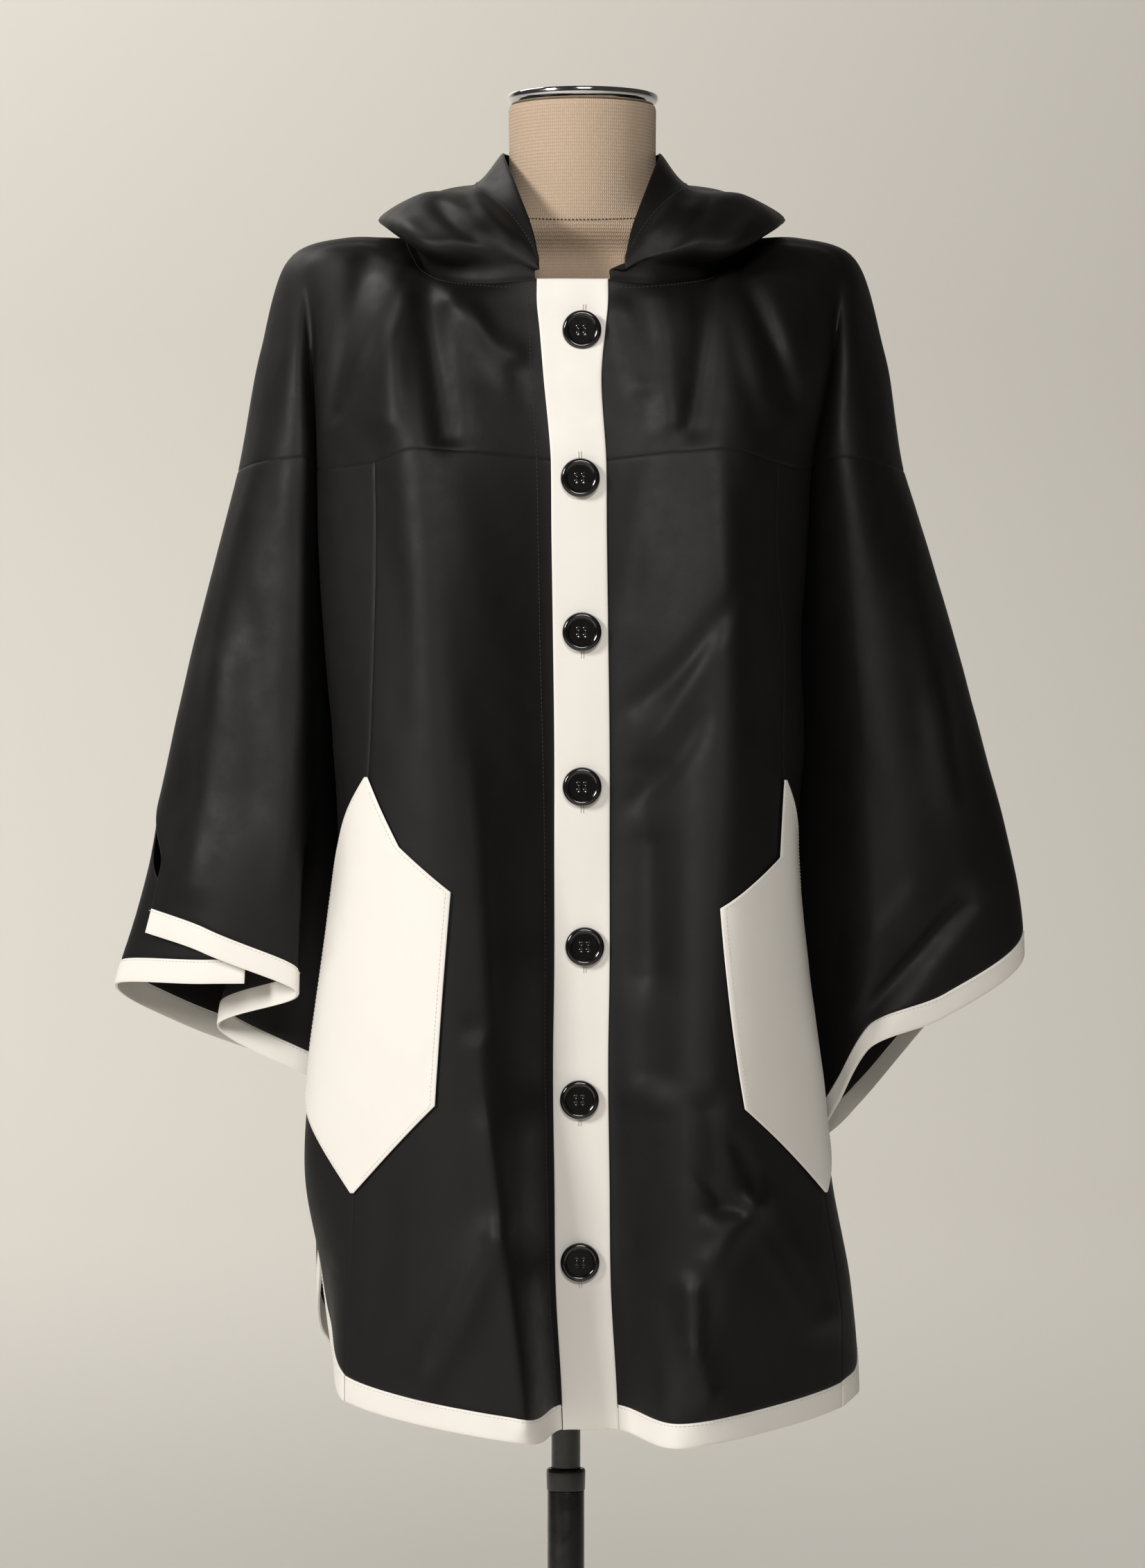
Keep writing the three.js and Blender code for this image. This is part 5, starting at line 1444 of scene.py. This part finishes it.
class Coat:
    """The raincoat: its cut pieces, bindings, pockets, placket, hood and buttons."""

    def __init__(self, room: Workroom, stitcher: Stitcher) -> None:
        """Takes the plan and the tools."""
        self.room = room
        self.stitcher = stitcher
        self.plan = CoatPlan()
        self.relief = Relief()
        self.shells: dict[str, Shell] = {}

    def panel(
        self,
        node: str,
        name: str,
        finish: Finish,
        surface: Surface,
        spans: tuple[tuple, tuple],
        sense: int,
        **sizes: float | tuple,
    ) -> None:
        """Makes one cut piece and keeps its shell for the sewing.

        Args:
            node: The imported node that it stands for.
            name: Its own name.
            finish: Its cloth.
            surface: The coat's surface there.
            spans: Range of columns and of rows.
            sense: 1 where columns times rows point outwards, or else -1.
            sizes: Further sizes of the shell.
        """
        shell = Shell(surface, *spans, sense, self.relief, **sizes)
        self.shells[node] = shell
        vertices, faces = shell.mesh()
        made = self.room.piece(name, vertices, faces, [finish], node=node, sharp=70)
        self.declare(made, CUTS[node])

    @staticmethod
    def declare(made: bpy.types.Object, cut: Cut) -> None:
        """Takes a piece and the cut of its cloth, and does nothing with them."""

    def build(self) -> None:
        """Builds the coat."""
        plan = self.plan
        yoke_v, body_v, arm_v = (-YOKE_ROWS, 0), (0, BODY_ROWS), (0, ARM_ROWS)
        hem_v, cuff_v = (BODY_ROWS, BODY_ROWS + 1), (ARM_ROWS, ARM_ROWS + 1)
        black, white = Finish.BLACK_CLOTH, Finish.WHITE_CLOTH
        for half in Half:
            body = lambda u, k, h=half: plan.body(h, u, k)
            yoke = lambda u, k, h=half: plan.yoke(h, u, k)
            sleeve = lambda u, k, h=half: plan.sleeve(h, u, k, Ply.FRONT)
            side, rear = plan.side_surface(half), plan.back_sleeve(half)
            cuff_u, rear_u = (VALLEY + CUFF_START, TIP), (0, 1 - CUFF_START / 3)
            pieces = (
                ("yoke_front", "front_yoke", black, yoke, (0, TIP), yoke_v),
                ("front", "front_panel", black, body, (0, PRINCESS), body_v),
                ("side", "side_panel", black, side, (0, 1), body_v),
                ("sleeve_front", "sleeve_front_sheet", black, sleeve, (VALLEY, TIP), arm_v),
                ("sleeve_back", "sleeve_back_sheet", black, rear, (0, 1), arm_v),
                ("hem_front", "hem_binding_front", white, body, (STAND, PRINCESS), hem_v),
                ("hem_side", "hem_binding_side", white, side, (0, 1), hem_v),
                ("cuff_front", "cuff_binding_front", white, sleeve, cuff_u, cuff_v),
                ("cuff_back", "cuff_binding_back", white, rear, rear_u, cuff_v),
            )
            for node, name, finish, surface, *spans in pieces:
                names = (f"{node}_{half.value}", f"{name}_{half.value}")
                sizes = BAND if finish is white else {}
                self.panel(*names, finish, surface, spans, -half.sign, **sizes)
            self.add_pocket(half)
            self.add_hood(half)
        round_back = (0, 2)
        self.panel("back", "back_panel", black, plan.back, (round_back, body_v), 1, cell=5.0)
        self.panel("hem_back", "hem_binding_back", white, plan.back, (round_back, hem_v), 1, **BAND)
        spans = (TIP, 2 * BACK_CENTRE - TIP), yoke_v
        self.panel("yoke_back", "back_yoke", black, plan.yoke_back, spans, 1, cell=4.5)
        spans = (-1, 1), (-YOKE_ROWS, BODY_ROWS + 1)
        self.panel("placket", "front_placket", white, plan.placket, spans, -1, **FRONT_BAND)
        self.add_buttons()
        self.add_topstitching()

    def add_pocket(self, half: Half) -> None:
        """Makes a patch pocket over the princess seam."""
        names = (f"pocket_{half.value}", f"patch_pocket_{half.value}")
        heights = [-row[0] for row in POCKETS[half]]
        spans = (0, 1), (heights[0], heights[-1])
        sizes = {**POCKET, "rows_at": tuple(heights[1:-1])}
        self.panel(*names, Finish.WHITE_CLOTH, self.plan.pocket(half), spans, -half.sign, **sizes)

    def add_hood(self, half: Half) -> None:
        """Makes a half of the hood."""
        names = (f"hood_{half.value}", f"hood_half_{half.value}")
        spans = (0, len(HOOD_STATIONS) - 1), (0, len(HOOD_STATIONS[0]))
        self.panel(*names, Finish.BLACK_CLOTH, self.plan.hood(half), spans, half.sign, **HOOD)

    def row_at_height(self, z: float) -> float:
        """Row number on the placket's middle at a height."""
        rows = np.linspace(-YOKE_ROWS, BODY_ROWS + 1, 400)
        heights = self.plan.placket(np.zeros(len(rows)), rows)[:, 2]
        return float(np.interp(-z, -heights, rows))

    def add_buttons(self) -> None:
        """Sews the buttons on the placket, each with its buttonhole."""
        shell = self.shells["placket"]
        vertices, faces, kinds = Button().mesh()
        finishes = [Finish.BUTTON_GLOSS, Finish.BUTTON_DISH, Finish.BLACK_THREAD]
        look = {"sharp": 28, "face_finish": kinds}
        holes = []
        for number, (z, across) in enumerate(BUTTONS, start=1):
            row = np.array([self.row_at_height(z)])
            seat = shell.path(np.array([0.0]), row)[0] + [across, 0, 0]
            placed = seat + vertices[:, [0, 2, 1]] * [1, -1, 1] - [0, BUTTON_LIFT, 0]
            names = {"name": f"coat_button_{number}", "node": f"button_{number}"}
            self.room.piece(vertices=placed, faces=faces, finishes=finishes, **names, **look)
            middle = z + (HOLE_SHIFT if number <= 2 else -HOLE_SHIFT)
            drops = np.linspace(-HOLE_HALF, HOLE_HALF, 9)
            rows = np.array([self.row_at_height(middle + drop) for drop in drops])
            for side in (-HOLE_SIDE, HOLE_SIDE):
                columns = np.full(len(rows), (across + side) / (PLACKET_WIDTH / 2))
                holes.append(shell.path(columns, rows, HOLE_RISE))
        sizes = {"pitch": 0.75, "length": 1.0, "thick": 0.9}
        self.stitcher.sew("buttonhole_stitches", holes, Finish.WHITE_THREAD, **sizes)

    def add_topstitching(self) -> None:
        """Sews the rows of stitches that hold the edges."""
        dark, light = [], []
        shells = self.shells
        neck, hem, cuff = (-YOKE_ROWS,) * 2, (BODY_ROWS,) * 2, (ARM_ROWS,) * 2
        for half in Half:
            s = half.value
            dark.append(shells[f"yoke_front_{s}"].inset((STAND + 0.1, TIP), neck, YOKE_STITCH))
            columns = np.linspace(0.6, len(HOOD_STATIONS) - 1, 300)
            rows = np.full(len(columns), HOOD_STITCH_ROW)
            dark.append(shells[f"hood_{s}"].path(columns, rows, STITCH_RISE))
            pocket = shells[f"pocket_{s}"]
            top, foot = pocket.v_range
            ends = (top + POCKET_STITCH_END, foot - POCKET_STITCH_END)
            for edge in (0.0, 1.0):
                light.append(pocket.inset((edge, edge), ends, POCKET_STITCH))
            edges = {"hem_front": hem, "hem_side": hem, "cuff_front": cuff, "cuff_back": cuff}
            for node, row in edges.items():
                shell = shells[f"{node}_{s}"]
                light.append(shell.inset(shell.u_range, row, BAND_STITCH))
        for node, rows in (("yoke_front_l", (-YOKE_ROWS + 0.35, 0)), ("front_l", (0, BODY_ROWS))):
            columns = np.full(400, STAND + 0.14)
            dark.append(shells[node].path(columns, np.linspace(*rows, 400), STITCH_RISE))
        light.append(shells["hem_back"].inset((0, 2), hem, BAND_STITCH))
        dark.append(shells["yoke_back"].inset(shells["yoke_back"].u_range, neck, YOKE_STITCH))
        self.stitcher.sew("black_topstitching", dark, Finish.BLACK_THREAD)
        self.stitcher.sew("white_topstitching", light, Finish.WHITE_THREAD, thick=0.5)


@dataclass
class Button:
    """A round button with a broad glossy rim, a matte dish and four holes."""

    radius: float = 14.5
    dish: float = 9.6
    dish_height: float = 3.0
    hole: float = 1.35
    hole_offset: float = 2.5
    sides: int = 64

    def profile(self) -> Profile:
        """Radius and height of the turned shape, from the underside to the dish's middle."""
        rim = ((3, 0), (1.2, 0.35), (0.3, 1.2), (0, 2.1), (0.15, 3.1), (0.7, 4.1), (1.5, 4.75))
        crest = ((2.3, 5.0), (3.2, 4.85), (4.0, 4.3))
        d, h = self.dish, self.dish_height
        outer = [(self.radius - inward, height) for inward, height in (*rim, *crest)]
        return [(0, 0), *outer, (d + 0.4, h + 0.3), (d, h), (d - 0.3, h), (d / 2, h), (0, h)]

    def mesh(self) -> tuple[Array, list, list]:
        """Vertices, faces and finish numbers of one button, flat side down."""
        vertices, faces = turned(self.profile(), self.sides)
        kinds = []
        for face in faces:
            flat = all(abs(vertices[k][2] - self.dish_height) < 1e-6 for k in face)
            kinds.append(1 if flat else 0)
        points = list(map(tuple, vertices))
        for x in (-self.hole_offset, self.hole_offset):
            for y in (-self.hole_offset, self.hole_offset):
                self.add_hole(points, faces, kinds, x, y)
        for x in (-self.hole_offset, self.hole_offset):
            self.add_thread(points, faces, kinds, x)
        return np.array(points), faces, kinds

    def add_hole(self, points: list, faces: list, kinds: list, x: float, y: float) -> None:
        """Adds the dark rounded rim of a hole, sunk in the dish."""
        sides, start = 16, len(points)
        rings = ((0.35, 0.02), (0.1, 0.14), (-0.2, 0.1), (-0.35, 0.03))
        for outward, rise in rings:
            radius, z = self.hole + outward, self.dish_height + rise
            for i in range(sides):
                angle = math.tau * i / sides
                points.append((x + radius * math.cos(angle), y + radius * math.sin(angle), z))
        last = len(rings) - 1
        for ring in range(last):
            for i in range(sides):
                j = (i + 1) % sides
                a, b = start + ring * sides, start + (ring + 1) * sides
                faces.append([a + i, a + j, b + j, b + i])
                kinds.append(0)
        faces.append([start + last * sides + i for i in range(sides)])
        kinds.append(2)

    def add_thread(self, points: list, faces: list, kinds: list, x: float) -> None:
        """Adds the thread that crosses from hole to hole."""
        sides, stations, start = 8, 7, len(points)
        for k in range(stations):
            t = k / (stations - 1)
            y = self.hole_offset * (2 * t - 1)
            z = self.dish_height + 0.1 + 0.75 * math.sin(math.pi * t)
            for i in range(sides):
                angle = math.tau * i / sides
                points.append((x + 0.5 * math.cos(angle), y, z + 0.3 * math.sin(angle)))
        for k in range(stations - 1):
            for i in range(sides):
                j = (i + 1) % sides
                a, b = start + k * sides, start + (k + 1) * sides
                faces.append([a + i, b + i, b + j, a + j])
                kinds.append(2)
        for k, order in ((0, 1), (stations - 1, -1)):
            faces.append([start + k * sides + i for i in range(sides)][::order])
            kinds.append(2)


def turned(profile: Profile, sides: int, closed: bool = False) -> tuple[Array, list]:
    """A turned shape about Z.

    Args:
        profile: Radius and height of each point, with the material on the axis side.
        sides: Number of sides.
        closed: Whether the profile is a loop, as for a tube.

    Returns:
        Vertices and outward faces.
    """
    points, rows = [], []
    for radius, height in profile:
        if radius == 0:
            rows.append([len(points)] * sides)
            points.append((0, 0, height))
            continue
        rows.append([len(points) + i for i in range(sides)])
        for i in range(sides):
            angle = math.tau * i / sides
            points.append((radius * math.cos(angle), radius * math.sin(angle), height))
    if closed:
        rows.append(rows[0])
    faces = []
    for low, high in zip(rows, rows[1:]):
        for i in range(sides):
            j = (i + 1) % sides
            corners = [low[i], low[j], high[j], high[i]]
            face = [c for n, c in enumerate(corners) if c not in corners[:n]]
            if len(face) > 2:
                faces.append(face)
    return np.array(points, float), faces


def eased(profile: Profile, radius: float, closed: bool = False) -> Profile:
    """Rounds the corners of a profile with small arcs.

    Args:
        profile: Radius and height of each point.
        radius: Reach of each arc from its corner.
        closed: Whether the profile is a loop.

    Returns:
        The profile with its arcs.
    """
    count, steps = len(profile), 4
    out = []
    for i, here in enumerate(profile):
        if not closed and i in (0, count - 1):
            out.append(here)
            continue
        p = np.array(here, float)
        a, b = np.array(profile[i - 1], float), np.array(profile[(i + 1) % count], float)
        reach = min(radius, 0.45 * np.linalg.norm(a - p), 0.45 * np.linalg.norm(b - p))
        start = p + (a - p) / np.linalg.norm(a - p) * reach
        end = p + (b - p) / np.linalg.norm(b - p) * reach
        for t in np.linspace(0, 1, steps):
            q = (1 - t) ** 2 * start + 2 * t * (1 - t) * p + t**2 * end
            out.append((float(q[0]), float(q[1])))
    return out


@dataclass
class DressForm:
    """The linen-covered torso with its neck seam and metal cap."""

    room: Workroom
    stitcher: Stitcher
    sides: int = 144
    row_step: float = 6.0
    seam_height: float = 1401.0
    seam_dip: float = 6.0
    seam_rise: float = 1.006
    top_ease: float = 0.012
    cover_radius: float = 0.075

    def level(self, z: Array) -> Array:
        """Middle, half width and half depths at each height."""
        return smooth_value([row[0] for row in FORM_ROWS], [row[1:] for row in FORM_ROWS], z)

    @staticmethod
    def around(row: Array, angles: Array, scale: float, z: Array) -> Array:
        """Points round the form, from one row for all or a row for each."""
        x, y, width, front, rear = row.T
        depth = np.where(np.sin(angles) < 0, front, rear)
        across, along = width * scale * np.cos(angles), depth * scale * np.sin(angles)
        return np.column_stack([x + across, y + along, z])

    def build(self) -> None:
        """Builds the torso, its seam and the cap."""
        low, high = FORM_ROWS[0][0], FORM_ROWS[-1][0]
        heights = np.arange(low, high, self.row_step)
        heights = np.unique(np.concatenate([heights, [low + 1, high - 3, high - 1.2, high]]))
        rows = self.level(heights)
        angles = np.linspace(0, math.tau, self.sides, endpoint=False)
        points = []
        for z, row in zip(heights, rows):
            ease = 1 - self.top_ease * np.clip((z - high + 3) / 3, 0, 1)
            points.append(self.around(row, angles, ease, np.full(self.sides, z)))
        grid = np.array(points)
        faces = []
        for row in range(len(heights) - 1):
            for i in range(self.sides):
                j = (i + 1) % self.sides
                a, b = row * self.sides, (row + 1) * self.sides
                faces.append([a + i, a + j, b + j, b + i])
        count = len(heights) * self.sides
        ends = [[rows[0][0], rows[0][1], low], [rows[-1][0], rows[-1][1], high]]
        for i in range(self.sides):
            j = (i + 1) % self.sides
            last = count - self.sides
            faces.append([count, j, i])
            faces.append([count + 1, last + i, last + j])
        vertices = np.vstack([grid.reshape(-1, 3), ends])
        looks = {"finishes": [Finish.LINEN], "node": "dress_form", "sharp": 60}
        made = self.room.piece("linen_torso", vertices, faces, **looks)
        self.wrap_cover(made.data)
        self.add_seam()
        self.add_cap()

    def wrap_cover(self, mesh: bpy.types.Mesh) -> None:
        """Lays the cover's UV map round the torso, in metres."""
        layer = mesh.uv_layers.new(name="Cover")
        x, y = (value * MM for value in NECK_AT)
        for face in mesh.polygons:
            points = [mesh.vertices[i].co for i in face.vertices]
            angles = [math.atan2(point.y - y, point.x - x) for point in points]
            for corner, point, angle in zip(face.loop_indices, points, angles):
                angle += math.tau * round((angles[0] - angle) / math.tau)
                layer.data[corner].uv = (angle * self.cover_radius, point.z)

    def add_seam(self) -> None:
        """Sews the seam between the neck and the torso."""
        angles = np.linspace(-math.pi, math.pi, 361)
        z = self.seam_height - self.seam_dip * np.exp(-(((angles + math.pi / 2) / 0.9) ** 2))
        line = self.around(self.level(z), angles, self.seam_rise, z)
        sizes = {"pitch": 2.8, "length": 2.2, "thick": 1.0}
        self.stitcher.sew("neck_seam_stitches", [line], Finish.BROWN_THREAD, **sizes)

    def add_cap(self) -> None:
        """Turns the polished cap of the neck."""
        rim = ((50, 0), (54.5, 1.2), (56.6, 3.4), (57.5, 5.2), (57.5, 7.8))
        crest = ((56.6, 8.9), (54.5, 9.2), (52.5, 8.4), (50, 8.0))
        profile = [(radius, CAP_FOOT + rise) for radius, rise in ((0, 0), *rim, *crest, (0, 8.0))]
        vertices, faces = turned(eased(profile, 0.8), 128)
        looks = {"finishes": [Finish.CHROME], "node": "neck_cap", "sharp": 35}
        self.room.piece("neck_disc", vertices + [*NECK_AT, 0], faces, **looks)


@dataclass
class Stand:
    """The telescopic pole on its round base."""

    room: Workroom
    sides: int = 96

    def build(self) -> None:
        """Turns each part of the stand."""
        foot, tube_foot, joint, top = 12.3, 215, 436, 689.7
        bore = 11.5
        tube = [(0, tube_foot), (11, tube_foot), (11, top - 6), (28, top - 5), (28, top), (0, top)]
        outer = [(bore, foot), (14, foot), (14, joint), (bore, joint)]
        ring = [(bore, 436.3), (14.5, 436.3), (14.9, 451), (14, 453), (bore, 453)]
        socket = [(14.3, foot), (24, foot), (20, 46), (14.3, 46)]
        plate = [(0, 0), (178, 0), (180, 3), (179, 6), (44, 12), (0, 12)]
        parts = (
            ("inner_tube", "tube_upper", FORM_BODY, False, 0.8, tube),
            ("outer_tube", "tube_lower", STAND_BODY, True, 0.5, outer),
            ("tube_collar", "collar", STAND_BODY, True, 0.9, ring),
            ("base_socket", "socket", STAND_BODY, True, 1.2, socket),
            ("base_plate", "base", STAND_BODY, False, 1.5, plate),
        )
        for name, node, body, closed, radius, profile in parts:
            vertices, faces = turned(eased(profile, radius, closed), self.sides, closed)
            looks = {"finishes": [Finish.BLACK_STEEL], "body": body, "node": node, "sharp": 35}
            self.room.piece(name, vertices, faces, **looks)


class Studio:
    """Camera, lights and seamless paper."""

    lens = 121.0
    sensor = 36
    camera_at = (0.005, -4.0, 0.972)
    air = (0.90, 0.87, 0.82, 1)
    air_strength = 0.05
    far_tone = (0.66, 0.63, 0.575, 1)
    paper = (0.74, 0.715, 0.665, 1)
    paper_rough = 0.9

    def add_camera(self) -> None:
        """Sets the camera as the photograph was taken."""
        data = bpy.data.cameras.new("camera")
        data.sensor_width = self.sensor
        data.lens = self.lens
        camera = bpy.data.objects.new("camera", data)
        camera.location = self.camera_at
        camera.rotation_euler = (math.pi / 2, 0, 0)
        bpy.context.scene.collection.objects.link(camera)
        bpy.context.scene.camera = camera

    def add_light(
        self, name: str, at: tuple, toward: tuple, size: tuple, power: float, colour: Colour
    ) -> None:
        """Hangs one soft panel light.

        Args:
            name: Its name.
            at: Its place, in metres.
            toward: The point that it faces.
            size: Its width and height.
            power: Watts.
            colour: Its colour.
        """
        data = bpy.data.lights.new(name, "AREA")
        data.shape = "RECTANGLE"
        data.size, data.size_y = size
        data.energy = power
        data.color = colour
        light = bpy.data.objects.new(name, data)
        light.location = at
        light.rotation_euler = (Vector(toward) - Vector(at)).to_track_quat("-Z", "Y").to_euler()
        bpy.context.scene.collection.objects.link(light)

    def build(self) -> None:
        """Builds the studio."""
        self.add_air()
        bpy.context.scene.view_settings.view_transform = "Standard"
        lights = (
            ("key_light", (-3.1, -2.6, 2.6), (0, 0, 0.95), (0.8, 1.1), 120, (1, 0.97, 0.93)),
            ("fill_light", (0.2, -4.1, 3.0), (0, 0, 0.9), (1.4, 1.0), 84, (1, 0.97, 0.94)),
            ("wall_light", (-5.6, 5.0, 8.5), (-1.0, 10.5, 4.0), (5.0, 3.0), 900, (1, 0.98, 0.95)),
        )
        for light in lights:
            self.add_light(*light)
        self.add_paper()

    def add_air(self) -> None:
        """Fills the studio with faint light, and shows the paper's tone where the paper ends."""
        world = bpy.data.worlds.new("studio_air")
        world.use_nodes = True
        nodes, links = world.node_tree.nodes, world.node_tree.links
        air = nodes["Background"]
        air.inputs[0].default_value = self.air
        air.inputs[1].default_value = self.air_strength
        tone = nodes.new("ShaderNodeBackground")
        tone.inputs[0].default_value = self.far_tone
        blend = nodes.new("ShaderNodeMixShader")
        rays = nodes.new("ShaderNodeLightPath")
        links.new(rays.outputs["Is Camera Ray"], blend.inputs[0])
        links.new(air.outputs[0], blend.inputs[1])
        links.new(tone.outputs[0], blend.inputs[2])
        links.new(blend.outputs[0], nodes["World Output"].inputs[0])
        bpy.context.scene.world = world

    def add_paper(self) -> None:
        """Hangs the seamless paper."""
        front, bend, back, tall, wide, steps = -12.0, 2.2, 10.5, 9.0, 14.0, 12
        line = [(front, 0.0)]
        for i in range(steps + 1):
            angle = math.pi / 2 * i / steps
            line.append((back - bend + bend * math.sin(angle), bend - bend * math.cos(angle)))
        line.append((back, tall))
        mesh = bpy.data.meshes.new("seamless_paper")
        points = [(x, y, z - 0.0005) for y, z in line for x in (-wide, wide)]
        faces = [(2 * i, 2 * i + 1, 2 * i + 3, 2 * i + 2) for i in range(len(line) - 1)]
        mesh.from_pydata(points, [], faces)
        mesh.polygons.foreach_set("use_smooth", [True] * len(faces))
        paper = bpy.data.materials.new("paper")
        paper.use_nodes = True
        inputs = paper.node_tree.nodes["Principled BSDF"].inputs
        inputs["Base Color"].default_value = self.paper
        inputs["Roughness"].default_value = self.paper_rough
        mesh.materials.append(paper)
        made = bpy.data.objects.new("seamless_paper", mesh)
        bpy.context.scene.collection.objects.link(made)


def main() -> None:
    """Builds the object and its studio."""
    logging.basicConfig(level=logging.INFO, format="%(message)s", stream=sys.stdout)
    studio = Studio()
    studio.add_camera()
    studio.build()
    room = Workroom()
    stitcher = Stitcher(room)
    Stand(room).build()
    DressForm(room, stitcher).build()
    Coat(room, stitcher).build()


if __name__ == "__main__":
    main()
